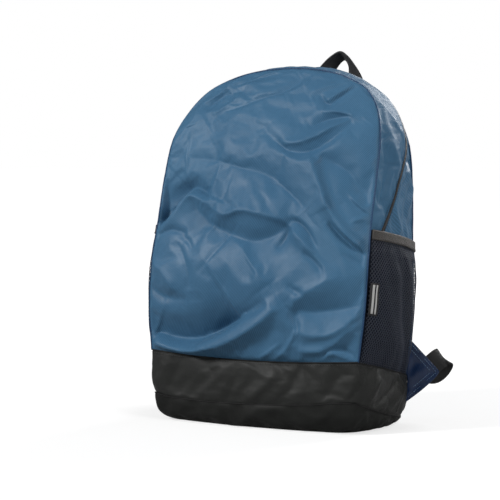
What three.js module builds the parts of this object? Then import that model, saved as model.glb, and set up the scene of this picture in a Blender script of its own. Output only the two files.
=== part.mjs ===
import * as THREE from 'three';

// A packable backpack that stands on its base. Millimetres, +Z up, the front looks along -Y.
// The origin is the middle of the flat face that it rests on.

// Driving dimensions of the body
const bodyHeight = 420; // floor to the top of the front seam
const bodyWidth = 290; // across the front seams where they are widest
const bodyDepth = 124; // front seam to rear seam, near the base
const wall = 1.5; // every cloth wall
const seamGap = 0.3; // between two pieces that are sewn together
const frontBulge = 24; // how far the front panel stands forward of its seams
const rearBulge = 7;
const sideBulge = 7;
const bandBulge = 5;

// Driving dimensions of the zip, the pockets and the label
const zipWidth = 9;
const sliderLength = 13;
const sliderWidth = 9;
const sliderHeight = 5;
const sliderStandOff = 0.95; // keeps the stiff slider clear of the curved cloth
const pullLength = 30;
const pullWidth = 7;
const pullThickness = 1.6;
const pocketGape = 10; // how far the net stands off the side at its mouth
const netThickness = 1.2;
const bindingHeight = 11;
const bindingThickness = 2.5;
const labelHeight = 36;
const labelReach = 12;
const labelThickness = 0.8;
const labelUp = 138; // the label's lower edge above the floor

// Driving dimensions of the straps and webbing
const loopWebbing = 20;
const loopSpan = 64; // between the middles of the haul loop's two feet
const loopRise = 38;
const loopLean = 12; // how far its top leans back
const loopShift = 9; // how far it has slipped to the right
const strapWebbing = 25;
const webbingThickness = 1.4;
const strapWidth = 56;
const strapThickness = 6;
const tabEdge = 74; // the wing tab's sewn edge
const tabReach = 41; // how far its corner stands out
const tabThickness = 2;
const buckleWidth = 36;
const buckleHeight = 26;
const buckleThickness = 4;
const buckleSlot = 7;

// The two seams round the body, from the base band's top edge (first row) to the top middle (last).
// Up is a share of bodyHeight, out of half bodyWidth, back of bodyDepth, and zip is the zip's place
// across the side, from 0 at the front seam to 1 at the rear seam.
const seamRows = [
  { frontUp: 0.2, frontOut: 0.952, frontBack: -0.484, rearUp: 0.135, rearOut: 0.945, rearBack: 0.55, zip: 0.2 },
  { frontUp: 0.325, frontOut: 0.99, frontBack: -0.456, rearUp: 0.27, rearOut: 0.985, rearBack: 0.58, zip: 0.2 },
  { frontUp: 0.45, frontOut: 0.996, frontBack: -0.4, rearUp: 0.4, rearOut: 0.985, rearBack: 0.61, zip: 0.2 },
  { frontUp: 0.555, frontOut: 0.985, frontBack: -0.315, rearUp: 0.506, rearOut: 0.962, rearBack: 0.65, zip: 0.19 },
  { frontUp: 0.685, frontOut: 0.982, frontBack: -0.195, rearUp: 0.667, rearOut: 0.93, rearBack: 0.72, zip: 0.46 },
  { frontUp: 0.803, frontOut: 0.96, frontBack: -0.06, rearUp: 0.778, rearOut: 0.87, rearBack: 0.8, zip: 0.74 },
  { frontUp: 0.883, frontOut: 0.872, frontBack: 0.085, rearUp: 0.848, rearOut: 0.76, rearBack: 0.88, zip: 0.81 },
  { frontUp: 0.938, frontOut: 0.735, frontBack: 0.175, rearUp: 0.897, rearOut: 0.625, rearBack: 0.97, zip: 0.82 },
  { frontUp: 0.975, frontOut: 0.515, frontBack: 0.225, rearUp: 0.938, rearOut: 0.43, rearBack: 1.055, zip: 0.82 },
  { frontUp: 0.995, frontOut: 0.26, frontBack: 0.245, rearUp: 0.962, rearOut: 0.225, rearBack: 1.11, zip: 0.8 },
  { frontUp: 1, frontOut: 0, frontBack: 0.25, rearUp: 0.966, rearOut: 0, rearBack: 1.13, zip: 0.8 },
];
const pocketRow = 3; // the row at the pocket's mouth
const shoulderRow = 6.5; // where a panel's side edge is taken to turn into its top edge

// The two loops below the seams, with the same kinds of share
const lowSeam = { frontUp: 0.083, frontOut: 0.93, frontBack: -0.5, rearUp: 0.025, rearOut: 0.915, rearBack: 0.54 };
const foot = { frontUp: 0, frontOut: 0.78, frontBack: -0.37, rearUp: 0, rearOut: 0.82, rearBack: 0.48 };
const topBulge = { front: 0.07, side: 0, rear: 0 }; // the loops' bulges, as shares of bodyDepth
const lowBulge = { front: 0.08, side: 0.07, rear: 0.04 };
const footBulge = { front: 0.09, side: 0.11, rear: 0.04 };
const bandDip = 0.011; // how far the band's front edges sag in the middle, as a share of bodyHeight

// Folds and dents of the front panel. Each runs from its first point past its middle to its last.
// X is a share of half bodyWidth, z of bodyHeight, wide and deep of bodyDepth, and deep is
// positive for a ridge and negative for a dent.
const frontFolds = [
  { x0: -0.7, z0: 0.83, x1: -0.27, z1: 0.89, x2: 0.1, z2: 0.95, wide: 0.07, deep: 0.032 },
  { x0: -0.78, z0: 0.74, x1: -0.39, z1: 0.71, x2: -0.11, z2: 0.7, wide: 0.12, deep: -0.03 },
  { x0: -0.94, z0: 0.65, x1: -0.81, z1: 0.66, x2: -0.65, z2: 0.64, wide: 0.13, deep: -0.05 },
  { x0: -0.98, z0: 0.51, x1: -0.82, z1: 0.63, x2: -0.61, z2: 0.6, wide: 0.07, deep: 0.035 },
  { x0: -0.69, z0: 0.59, x1: -0.3, z1: 0.45, x2: 0.16, z2: 0.53, wide: 0.12, deep: -0.05 },
  { x0: -0.61, z0: 0.6, x1: -0.2, z1: 0.56, x2: 0.14, z2: 0.54, wide: 0.07, deep: 0.035 },
  { x0: -0.43, z0: 0.2, x1: -0.01, z1: 0.28, x2: 0.12, z2: 0.35, wide: 0.12, deep: -0.05 },
  { x0: -0.38, z0: 0.16, x1: -0.03, z1: 0.23, x2: 0.43, z2: 0.31, wide: 0.09, deep: 0.05 },
  { x0: 0.3, z0: 0.74, x1: 0.58, z1: 0.6, x2: 0.97, z2: 0.48, wide: 0.08, deep: 0.04 },
  { x0: 0.56, z0: 0.54, x1: 0.79, z1: 0.49, x2: 0.98, z2: 0.45, wide: 0.06, deep: 0.03 },
  { x0: -0.03, z0: 0.78, x1: 0.25, z1: 0.74, x2: 0.61, z2: 0.87, wide: 0.11, deep: -0.055 },
  { x0: 0.38, z0: 0.89, x1: 0.49, z1: 0.92, x2: 0.6, z2: 0.95, wide: 0.06, deep: 0.03 },
  { x0: 0.08, z0: 0.46, x1: 0.28, z1: 0.56, x2: 0.47, z2: 0.46, wide: 0.08, deep: 0.03 },
  { x0: 0.32, z0: 0.27, x1: 0.51, z1: 0.34, x2: 0.71, z2: 0.39, wide: 0.08, deep: 0.03 },
  { x0: 0.36, z0: 0.28, x1: 0.72, z1: 0.27, x2: 1, z2: 0.3, wide: 0.09, deep: -0.04 },
  { x0: 0.5, z0: 0.16, x1: 0.67, z1: 0.19, x2: 0.89, z2: 0.22, wide: 0.08, deep: 0.03 },
];

// Steps between two points of the body's seams. The front panel has twice as many.
const pocketSteps = 5;
const upperSteps = 8;
const topSteps = 18;
const sideSteps = 6;
const bandSteps = 3;
const frontFineness = 2;

const at = (x, y, z) => new THREE.Vector3(x, y, z);
const between = (a, b, share) => a.clone().lerp(b, share);
const steps = (count) => Array.from({ length: count + 1 }, (_, i) => i / count);
const hump = (share) => 4 * share * (1 - share);

// Seam curves, from the left end of the base band over the top to its right end
function placeRow(row, side) {
  const point = (out, back, up) =>
    at((out * bodyWidth) / 2, back * bodyDepth, up * bodyHeight);
  return side === 'front'
    ? point(row.frontOut, row.frontBack, row.frontUp)
    : point(row.rearOut, row.rearBack, row.rearUp);
}

function seamCurve(side) {
  const right = seamRows.map((row) => placeRow(row, side));
  const left = right.slice(0, -1).map((p) => at(-p.x, p.y, p.z));
  return new THREE.CatmullRomCurve3([...left, ...right.reverse()]);
}

const frontSeam = seamCurve('front');
const rearSeam = seamCurve('rear');
const rowCount = 2 * (seamRows.length - 1);

function zipShare(t) {
  const row = Math.min(t, 1 - t) * rowCount;
  const low = Math.min(Math.floor(row), seamRows.length - 2);
  return THREE.MathUtils.lerp(seamRows[low].zip, seamRows[low + 1].zip, row - low);
}

// Outward direction of the side and top strip, square to the seam and to the way across
function stripOut(t) {
  const step = 0.004;
  const a = frontSeam.getPoint(Math.max(t - step, 0));
  const b = frontSeam.getPoint(Math.min(t + step, 1));
  const across = rearSeam.getPoint(t).sub(frontSeam.getPoint(t));
  return b.sub(a).cross(across).normalize();
}

// A point of the strip between the seams: share 0 at the front seam, 1 at the rear, standing off by lift
function stripPoint(t, share, lift = 0) {
  const point = between(frontSeam.getPoint(t), rearSeam.getPoint(t), share);
  return point.addScaledVector(stripOut(t), sideBulge * hump(share) + lift);
}

// The places along the seams where the body's pieces have their points
function seamStations() {
  const parts = [
    [0, pocketRow, pocketSteps],
    [pocketRow, shoulderRow, upperSteps],
    [shoulderRow, rowCount - shoulderRow, topSteps],
    [rowCount - shoulderRow, rowCount - pocketRow, upperSteps],
    [rowCount - pocketRow, rowCount, pocketSteps],
  ];
  const places = parts.flatMap(([from, to, count]) =>
    steps(count).slice(0, -1).map((share) => THREE.MathUtils.lerp(from, to, share)));
  return [...places, rowCount].map((row) => row / rowCount);
}

const stations = seamStations();
const shoulderStation = pocketSteps + upperSteps;
const lastStation = stations.length - 1;

// One side of a loop round the base: a straight run between two corners that bulges outwards
function loopSide(from, to, count, bulge, direction) {
  return steps(count).map((share) =>
    between(from, to, share).addScaledVector(direction, bulge * hump(share)));
}

function baseLoop(level, bulge) {
  const rightFront = placeRow(level, 'front');
  const rightRear = placeRow(level, 'rear');
  const leftFront = at(-rightFront.x, rightFront.y, rightFront.z);
  const leftRear = at(-rightRear.x, rightRear.y, rightRear.z);
  const side = bulge.side * bodyDepth;
  return {
    left: loopSide(leftRear, leftFront, sideSteps, side, at(-1, 0, 0)),
    front: loopSide(leftFront, rightFront, topSteps, bulge.front * bodyDepth, at(0, -1, 0)),
    right: loopSide(rightFront, rightRear, sideSteps, side, at(1, 0, 0)),
    rear: loopSide(rightRear, leftRear, topSteps, bulge.rear * bodyDepth, at(0, 1, 0)),
  };
}

function sagged(loop) {
  const last = loop.front.length - 1;
  const front = loop.front.map((p, i) => p.clone().setZ(p.z - bandDip * bodyHeight * hump(i / last)));
  return { ...loop, front };
}

const bandTop = {
  ...sagged(baseLoop(seamRows[0], topBulge)),
  left: steps(sideSteps).map((share) => stripPoint(0, 1 - share)),
  right: steps(sideSteps).map((share) => stripPoint(1, share)),
};
const bandFoot = sagged(baseLoop(lowSeam, lowBulge));

// A net of points inside four edges, each a list of points: bottom and top run left to right,
// left and right run upwards
function spannedGrid(bottom, top, left, right) {
  const lastRow = left.length - 1;
  const lastColumn = bottom.length - 1;
  return left.map((_, row) => bottom.map((_, column) => {
    const u = column / lastColumn;
    const w = row / lastRow;
    const upright = between(bottom[column], top[column], w);
    const level = between(left[row], right[row], u);
    const low = between(bottom[0], bottom[lastColumn], u);
    const high = between(top[0], top[lastColumn], u);
    return upright.add(level).sub(between(low, high, w));
  }));
}

// Twice or more as many points in an edge, the new ones on the straight line between their neighbours
function finer(edge, count) {
  return edge.flatMap((point, i) =>
    i === 0 ? [point] : steps(count).slice(1).map((share) => between(edge[i - 1], point, share)));
}

// Folds: distance to a bent line through three points, in the plane of the front panel
function foldLine(fold) {
  const scaleX = bodyWidth / 2;
  const middle = new THREE.Vector2(fold.x1 * scaleX, fold.z1 * bodyHeight);
  const start = new THREE.Vector2(fold.x0 * scaleX, fold.z0 * bodyHeight);
  const end = new THREE.Vector2(fold.x2 * scaleX, fold.z2 * bodyHeight);
  const handle = middle.clone().multiplyScalar(2).sub(start.clone().add(end).multiplyScalar(0.5));
  return new THREE.QuadraticBezierCurve(start, handle, end).getPoints(10);
}

const foldLines = frontFolds.map((fold) => ({ ...fold, points: foldLine(fold) }));

function foldLift(x, z) {
  const here = new THREE.Vector2(x, z);
  let lift = 0;
  for (const fold of foldLines) {
    const distances = fold.points.map((point) => point.distanceTo(here));
    const nearest = Math.min(...distances);
    const place = distances.indexOf(nearest) / (distances.length - 1);
    const taper = 0.35 + 0.65 * Math.sqrt(hump(place));
    const reach = fold.wide * bodyDepth;
    lift += fold.deep * bodyDepth * taper * Math.exp(-((nearest / reach) ** 2));
  }
  return lift;
}

// How much a panel stands out of its edges: 0 on each edge, about 1 in the middle
function swell(u, w, topFullness) {
  const across = Math.pow(hump(u), 0.7);
  const upright = Math.pow(Math.sin(Math.PI * Math.pow(w, topFullness)), 0.6);
  return across * upright;
}

function edgeFade(u, w, width) {
  const nearest = Math.min(u, 1 - u, w, 1 - w);
  return THREE.MathUtils.smoothstep(nearest, 0, width);
}

// Shapes of the body's walls, each a grid of points on the outside
function frontPanelGrid() {
  const seam = stations.map((t) => frontSeam.getPoint(t));
  const left = finer(seam.slice(0, shoulderStation + 1), frontFineness);
  const top = finer(seam.slice(shoulderStation, lastStation - shoulderStation + 1), frontFineness);
  const right = finer(seam.slice(lastStation - shoulderStation).reverse(), frontFineness);
  const bottom = finer(bandTop.front, frontFineness);
  const grid = spannedGrid(bottom, top, left, right);
  const fadeWidth = 0.09;
  const roundness = 0.8;
  return grid.map((row, j) => row.map((point, i) => {
    const u = i / (row.length - 1);
    const w = j / (grid.length - 1);
    const lift = frontBulge * swell(u, w, roundness)
      + foldLift(point.x, point.z) * edgeFade(u, w, fadeWidth);
    return point.add(at(0, -lift, 0));
  }));
}

function stripGrid(fromStation, toStation, shareFrom, shareTo, count) {
  return stations.slice(fromStation, toStation + 1).map((t) =>
    steps(count).map((share) =>
      stripPoint(t, THREE.MathUtils.lerp(shareFrom(t), shareTo(t), share))));
}

function baseBandGrid() {
  const path = (loop) => [...loop.left, ...loop.front.slice(1), ...loop.right.slice(1)];
  const upper = path(bandTop);
  const lower = path(bandFoot);
  const middle = at(0, 0, 0);
  return steps(bandSteps).map((share) => upper.map((point, i) => {
    const outwards = point.clone().sub(middle).setZ(0).normalize();
    return between(point, lower[i], share).addScaledVector(outwards, bandBulge * hump(share));
  }));
}

const bandGrid = baseBandGrid();

function backPanelGrid() {
  const seam = stations.map((t) => rearSeam.getPoint(t));
  const bandEdge = (column) => bandGrid.map((row) => row.at(column).clone()).reverse().slice(0, -1);
  const left = [...bandEdge(0), ...seam.slice(0, shoulderStation + 1)];
  const right = [...bandEdge(-1), ...seam.slice(lastStation - shoulderStation).reverse()];
  const top = seam.slice(shoulderStation, lastStation - shoulderStation + 1);
  const bottom = [...bandFoot.rear].reverse();
  const roundness = 0.8;
  const grid = spannedGrid(bottom, top, left, right);
  return grid.map((row, j) => row.map((point, i) => {
    const lift = rearBulge * swell(i / (row.length - 1), j / (grid.length - 1), roundness);
    return point.add(at(0, lift, 0));
  }));
}

// The base: rings from the low seam, turned under to the flat face that it stands on
function basePanelRings() {
  const ring = (loop) => ['front', 'right', 'rear', 'left'].flatMap((side) => loop[side].slice(0, -1));
  const outer = ring(bandFoot);
  const flat = ring(baseLoop(foot, footBulge));
  const turns = [0, 1 / 3, 2 / 3, 1].map((share) => {
    const angle = (share * Math.PI) / 2;
    return outer.map((point, i) => {
      const x = THREE.MathUtils.lerp(flat[i].x, point.x, Math.cos(angle));
      const y = THREE.MathUtils.lerp(flat[i].y, point.y, Math.cos(angle));
      return at(x, y, point.z * (1 - Math.sin(angle)));
    });
  });
  const inner = flat.map((point) => at(point.x / 2, point.y / 2, 0));
  return [...turns, inner];
}

// Walls: every panel is thickened inwards along directions that it shares with its neighbours
const keyOffset = 0.0013; // keeps round values off the rounding's edge
const pointKey = (p) => p.toArray().map((value) => (value + keyOffset).toFixed(2)).join(',');
const sharedDirections = new Map();

function gridCells(grid, closed) {
  const cells = [];
  const columns = grid[0].length;
  for (let j = 0; j + 1 < grid.length; j += 1) {
    for (let i = 0; i < (closed ? columns : columns - 1); i += 1) {
      const next = (i + 1) % columns;
      cells.push([[j, i], [j, next], [j + 1, next], [j + 1, i]]);
    }
  }
  return cells;
}

// Adds the panel's own outward directions to the shared ones; turn is -1 where its rows run the other way
function noteDirections(panel) {
  const { grid, closed, turn } = panel;
  for (const cell of gridCells(grid, closed)) {
    const [a, b, c, d] = cell.map(([j, i]) => grid[j][i]);
    const direction = c.clone().sub(a).cross(d.clone().sub(b)).normalize().multiplyScalar(turn);
    for (const point of [a, b, c, d]) {
      const key = pointKey(point);
      const sum = sharedDirections.get(key) ?? { total: at(0, 0, 0), count: 0 };
      sum.total.add(direction);
      sum.count += 1;
      sharedDirections.set(key, sum);
    }
  }
}

function inward(point) {
  const { total, count } = sharedDirections.get(pointKey(point));
  const sharpest = 0.6; // keeps the wall's mitre short where two panels meet sharply
  const mitre = Math.max(total.length() / count, sharpest);
  return total.clone().normalize().multiplyScalar(-wall / mitre);
}

// The rim of a grid in order, each place with the place inside it
function rimPlaces(grid, closed) {
  const lastRow = grid.length - 1;
  const lastColumn = grid[0].length - 1;
  const range = (count) => Array.from({ length: count }, (_, i) => i);
  const within = (i, last) => (i === 0 ? 1 : i === last ? last - 1 : i);
  if (closed) return grid[0].map((_, i) => ({ j: 0, i, insideJ: 1, insideI: i }));
  const places = [
    ...range(lastColumn).map((i) => [0, i]),
    ...range(lastRow).map((j) => [j, lastColumn]),
    ...range(lastColumn).map((i) => [lastRow, lastColumn - i]),
    ...range(lastRow).map((j) => [lastRow - j, 0]),
  ];
  return places.map(([j, i]) => ({ j, i, insideJ: within(j, lastRow), insideI: within(i, lastColumn) }));
}

// Moves a rim's points inwards, square to the rim, so that two sewn edges stay apart
function pulledBack(grid, closed) {
  const result = grid.map((row) => row.map((point) => point.clone()));
  const rim = rimPlaces(grid, closed);
  rim.forEach(({ j, i, insideJ, insideI }, place) => {
    const before = rim.at(place - 1);
    const after = rim[(place + 1) % rim.length];
    const along = grid[after.j][after.i].clone().sub(grid[before.j][before.i]).normalize();
    const inwards = grid[insideJ][insideI].clone().sub(grid[j][i]);
    inwards.addScaledVector(along, -inwards.dot(along));
    const isCorner = insideJ !== j && insideI !== i;
    result[j][i].add(inwards.setLength(isCorner ? seamGap : seamGap / Math.SQRT2));
  });
  return result;
}

// Sets the points that a fine edge has between shared ones on the straight line between those
function straightened(grid, fineness) {
  const lastRow = grid.length - 1;
  const lastColumn = grid[0].length - 1;
  const set = (j, i, stepJ, stepI, offset) => {
    const from = grid[j - offset * stepJ][i - offset * stepI];
    const to = grid[j + (fineness - offset) * stepJ][i + (fineness - offset) * stepI];
    grid[j][i] = between(from, to, offset / fineness);
  };
  for (const j of [0, lastRow]) {
    for (let i = 1; i < lastColumn; i += 1) if (i % fineness) set(j, i, 0, 1, i % fineness);
  }
  for (const i of [0, lastColumn]) {
    for (let j = 1; j < lastRow; j += 1) if (j % fineness) set(j, i, 1, 0, j % fineness);
  }
  return grid;
}

// Solids from points and faces
function solidGeometry(points, faces) {
  const geometry = new THREE.BufferGeometry();
  geometry.setAttribute('position', new THREE.Float32BufferAttribute(points.flatMap((p) => p.toArray()), 3));
  const volume = faces.reduce((sum, [a, b, c]) =>
    sum + points[a].dot(points[b].clone().cross(points[c])), 0);
  const turned = volume < 0 ? faces.map(([a, b, c]) => [a, c, b]) : faces;
  geometry.setIndex(turned.flat());
  geometry.computeVertexNormals();
  return geometry;
}

function quad(faces, a, b, c, d) {
  faces.push([a, b, c], [a, c, d]);
}

// A wall between an outer and an inner grid of points, closed along its edges. A closed grid's rows
// are rings, and the last ring is filled up to one middle point.
function wallGeometry(outer, inner, closed = false) {
  const rows = outer.length;
  const columns = outer[0].length;
  const points = [...outer.flat(), ...inner.flat()];
  const index = (j, i, layer) => layer * rows * columns + j * columns + (i % columns);
  const faces = [];
  for (const [[j, i], , [nextJ, nextI]] of gridCells(outer, closed)) {
    quad(faces, index(j, i, 0), index(j, nextI, 0), index(nextJ, nextI, 0), index(nextJ, i, 0));
    quad(faces, index(j, i, 1), index(nextJ, i, 1), index(nextJ, nextI, 1), index(j, nextI, 1));
  }
  const edgeWall = (j, i, nextJ, nextI) =>
    quad(faces, index(j, i, 0), index(j, i, 1), index(nextJ, nextI, 1), index(nextJ, nextI, 0));
  const spans = closed ? columns : columns - 1;
  for (let i = 0; i < spans; i += 1) edgeWall(0, i, 0, i + 1);
  if (closed) {
    const middle = (layer) => layer.at(-1).reduce((sum, p) => sum.add(p), at(0, 0, 0)).divideScalar(columns);
    const centre = points.length;
    points.push(middle(outer), middle(inner));
    for (let i = 0; i < columns; i += 1) {
      faces.push([index(rows - 1, i, 0), index(rows - 1, i + 1, 0), centre]);
      faces.push([index(rows - 1, i + 1, 1), index(rows - 1, i, 1), centre + 1]);
    }
    return solidGeometry(points, faces);
  }
  for (let i = 0; i < spans; i += 1) edgeWall(rows - 1, i + 1, rows - 1, i);
  for (let j = 0; j + 1 < rows; j += 1) {
    edgeWall(j + 1, 0, j, 0);
    edgeWall(j, columns - 1, j + 1, columns - 1);
  }
  return solidGeometry(points, faces);
}

function panelGeometry({ grid, closed, fineness }) {
  const inner = grid.map((row, j) => row.map((point) => point.clone().add(inward(point))));
  if (fineness > 1) straightened(inner, fineness);
  return wallGeometry(pulledBack(grid, closed), pulledBack(inner, closed), closed);
}

// A band of webbing or a padded strap: a section set square to a path at each of its stations.
// Each station has a point, the direction of the band's width, and its width and thickness.
function bandGeometry(path, sectionShape) {
  const points = [];
  path.forEach((station, i) => {
    const before = path[Math.max(i - 1, 0)].point;
    const after = path[Math.min(i + 1, path.length - 1)].point;
    const along = after.clone().sub(before).normalize();
    const across = station.across.clone().addScaledVector(along, -station.across.dot(along)).normalize();
    const upwards = along.clone().cross(across);
    for (const [x, y] of sectionShape) {
      points.push(station.point.clone()
        .addScaledVector(across, (x * station.width) / 2)
        .addScaledVector(upwards, (y * station.thickness) / 2));
    }
  });
  const sides = sectionShape.length;
  const faces = [];
  for (let j = 0; j + 1 < path.length; j += 1) {
    for (let i = 0; i < sides; i += 1) {
      const next = (i + 1) % sides;
      quad(faces, j * sides + i, j * sides + next, (j + 1) * sides + next, (j + 1) * sides + i);
    }
  }
  const last = (path.length - 1) * sides;
  for (let i = 1; i + 1 < sides; i += 1) {
    faces.push([0, i + 1, i]);
    faces.push([last, last + i, last + i + 1]);
  }
  return solidGeometry(points, faces);
}

const flatSection = [[-1, -1], [1, -1], [1, 1], [-1, 1]];
const paddedSection = [
  [-1, 0], [-0.93, -0.7], [-0.7, -1], [0.7, -1], [0.93, -0.7],
  [1, 0], [0.93, 0.7], [0.7, 1], [-0.7, 1], [-0.93, 0.7],
];

// Smooth path through a few stations, each with a point and the direction of the band's width
function bandPath(stationsOf, count, width, thickness) {
  const middles = new THREE.CatmullRomCurve3(stationsOf.map((s) => s.point));
  const widths = new THREE.CatmullRomCurve3(stationsOf.map((s) => s.across));
  return steps(count).map((t) => ({
    point: middles.getPoint(t),
    across: widths.getPoint(t).normalize(),
    width: typeof width === 'function' ? width(t) : width,
    thickness,
  }));
}

// Materials
const cloth = (color, roughness) => new THREE.MeshStandardMaterial({ color, roughness, metalness: 0 });
const materials = {
  blue: () => cloth('#48688a', 0.45),
  deepBlue: () => cloth('#14284a', 0.35),
  black: () => cloth('#232324', 0.6),
  net: () => cloth('#1a1c26', 0.7),
  charcoal: () => cloth('#3e3c3a', 0.75),
  webbing: () => cloth('#2b2b2d', 0.7),
  plastic: () => cloth('#1b1b1c', 0.4),
  metal: () => new THREE.MeshStandardMaterial({ color: '#2a2a2c', roughness: 0.35, metalness: 0.8 }),
};

const group = new THREE.Group();

function add(name, geometry, material) {
  const mesh = new THREE.Mesh(geometry, materials[material]());
  mesh.name = name;
  group.add(mesh);
  return mesh;
}

// Body walls
const zipHalf = (t) => zipWidth / 2 / frontSeam.getPoint(t).distanceTo(rearSeam.getPoint(t));
const zipFront = (t) => zipShare(t) - zipHalf(t);
const zipRear = (t) => zipShare(t) + zipHalf(t);
const mouth = pocketSteps;
const lastMouth = lastStation - pocketSteps;
const gussetColumns = 3;

const panels = [
  { name: 'front_panel', material: 'blue', turn: 1, fineness: frontFineness, grid: frontPanelGrid() },
  {
    name: 'front_gusset', material: 'blue', turn: -1,
    grid: stripGrid(mouth, lastMouth, () => 0, zipFront, gussetColumns),
  },
  { name: 'zip_band', material: 'charcoal', turn: -1, grid: stripGrid(mouth, lastMouth, zipFront, zipRear, 1) },
  {
    name: 'rear_gusset', material: 'blue', turn: -1,
    grid: stripGrid(mouth, lastMouth, zipRear, () => 1, gussetColumns),
  },
  {
    name: 'side_panel_left', material: 'blue', turn: -1,
    grid: stripGrid(0, mouth, () => 0, () => 1, sideSteps),
  },
  {
    name: 'side_panel_right', material: 'blue', turn: -1,
    grid: stripGrid(lastMouth, lastStation, () => 0, () => 1, sideSteps),
  },
  { name: 'back_panel', material: 'blue', turn: -1, grid: backPanelGrid() },
  { name: 'base_band', material: 'black', turn: -1, grid: bandGrid },
  { name: 'base_panel', material: 'black', turn: -1, closed: true, grid: basePanelRings() },
];
panels.forEach(noteDirections);
panels.forEach((panel) => add(panel.name, panelGeometry(panel), panel.material));

// Side pockets. Left is side -1 and right is side 1; t runs along the seams from the left base,
// so a height on the right side is mirrored.
const sideT = (row, side) => (side < 0 ? row / rowCount : 1 - row / rowCount);
const clearance = 0.5; // between a pocket's net and the cloth under it
const bindingRows = bindingHeight / frontSeam.getPoint(sideT(pocketRow, 1))
  .distanceTo(frontSeam.getPoint(sideT(pocketRow - 1, 1)));
const netTopRow = pocketRow - bindingRows;

function netLift(row, share) {
  const rise = Math.pow(Math.min(row / pocketRow, 1), 0.45);
  return clearance + pocketGape * rise * Math.pow(hump(share), 0.55);
}

function netPoint(row, share, side, lift) {
  return stripPoint(sideT(row, side), share, netLift(row, share) + lift);
}

function netWall(rowFrom, rowTo, rowCountHere, columnCount, liftIn, liftOut, side) {
  const layer = (lift) => steps(rowCountHere).map((v) =>
    steps(columnCount).map((u) =>
      netPoint(THREE.MathUtils.lerp(rowFrom, rowTo, v), THREE.MathUtils.lerp(netEdge, 1 - netEdge, u), side, lift)));
  return wallGeometry(layer(liftOut), layer(liftIn));
}

const netEdge = 0.012; // keeps the net's two edges just inside the seams
const netColumns = 8;
const netRows = 6;
const rowGap = (seamGap / bodyHeight) * seamRows.length; // the seam gap as a share of one row
for (const [name, side] of [['right', 1], ['left', -1]]) {
  const net = netWall(rowGap, netTopRow - rowGap, netRows, netColumns, 0, netThickness, side);
  add(`mesh_pocket_${name}`, net, 'net');
  const binding = netWall(netTopRow, pocketRow, 1, netColumns, 0, bindingThickness, side);
  add(`pocket_binding_${name}`, binding, 'charcoal');
}

// Seam label, flat on the right pocket's net
function rowAtHeight(height) {
  const heights = seamRows.map((row) => row.frontUp * bodyHeight);
  const above = heights.findIndex((z) => z > height);
  return above - 1 + (height - heights[above - 1]) / (heights[above] - heights[above - 1]);
}

function labelGeometry() {
  const lift = netThickness + clearance;
  const layer = (extra) => steps(3).map((v) => steps(3).map((u) => {
    const row = rowAtHeight(labelUp + v * labelHeight);
    return netPoint(row, netEdge + (u * labelReach) / bodyDepth, 1, lift + extra);
  }));
  return wallGeometry(layer(labelThickness), layer(0));
}
add('side_label', labelGeometry(), 'webbing');

// Zip slider and its pull, at the closed end of the zip on the left side
function zipPieces() {
  const t = sideT(pocketRow + 1.2, -1);
  const lift = sliderHeight / 2 + sliderStandOff;
  const middle = stripPoint(t, zipShare(t), lift);
  const ahead = stripPoint(t + 0.01, zipShare(t + 0.01), lift);
  const along = ahead.sub(middle).normalize();
  const out = stripOut(t);
  const across = out.clone().cross(along).normalize();
  const end = (share) => ({
    point: middle.clone().addScaledVector(along, share * sliderLength),
    across,
    width: sliderWidth * (share < 0 ? 0.7 : 1),
    thickness: sliderHeight,
  });
  add('zip_slider', bandGeometry([end(-0.5), end(0), end(0.5)], flatSection), 'metal');
  const start = middle.clone()
    .addScaledVector(out, (sliderHeight + pullThickness) / 2 + seamGap)
    .addScaledVector(along, sliderLength / 4);
  const pull = [0, 0.3, 0.65, 1].map((share) => ({
    point: start.clone().addScaledVector(along, -share * pullLength),
    across,
    width: pullWidth * (share > 0.5 ? 1 : 0.6),
    thickness: pullThickness,
  }));
  add('zip_pull', bandGeometry(pull, flatSection), 'webbing');
}
zipPieces();

// Haul loop. Its feet lie flat behind the rear seam, and its middle rises and leans back.
// Out is a share of half loopSpan, up of loopRise and back of loopLean, and turn is the slope of
// the webbing's width, from 0 where it lies flat against the back to 1 at the loop's top.
const loopRows = [
  { out: -0.95, up: -0.2, back: 0, turn: 0 },
  { out: -0.9, up: 0.05, back: 0.02, turn: 0.04 },
  { out: -0.72, up: 0.5, back: 0.35, turn: 0.35 },
  { out: -0.4, up: 0.88, back: 0.8, turn: 0.75 },
  { out: 0, up: 1, back: 1, turn: 1 },
  { out: 0.4, up: 0.88, back: 0.8, turn: 0.75 },
  { out: 0.72, up: 0.5, back: 0.35, turn: 0.35 },
  { out: 0.9, up: 0.05, back: 0.02, turn: 0.04 },
  { out: 0.95, up: -0.2, back: 0, turn: 0 },
];
const loopTopSlope = 0.65; // how far the webbing's width points down at the loop's top
const loopFootSplay = 0.35; // how far it points down at the feet
const sewnOff = 0.7; // a sewn-on band's clearance from the cloth

function topSeamAt(x) {
  const distance = (p) => Math.abs(p.x - x) + (p.z < bodyHeight / 2 ? bodyWidth : 0);
  return rearSeam.getPoints(400).reduce((best, p) => (distance(p) < distance(best) ? p : best));
}

function haulLoopGeometry() {
  const off = webbingThickness / 2 + sewnOff;
  const feet = [-1, 1].map((side) => topSeamAt((side * loopSpan) / 2 + loopShift));
  const path = loopRows.map(({ out, up, back, turn }) => {
    const foot = between(feet[0], feet[1], (out + 1) / 2);
    const inwards = -Math.sign(out) * (1 - turn);
    return {
      point: at(foot.x, foot.y + off + back * loopLean, foot.z + up * loopRise),
      across: at(inwards, turn, -THREE.MathUtils.lerp(loopFootSplay, loopTopSlope, turn)),
    };
  });
  return bandGeometry(bandPath(path, 28, loopWebbing, webbingThickness), flatSection);
}
add('haul_loop', haulLoopGeometry(), 'webbing');

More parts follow.
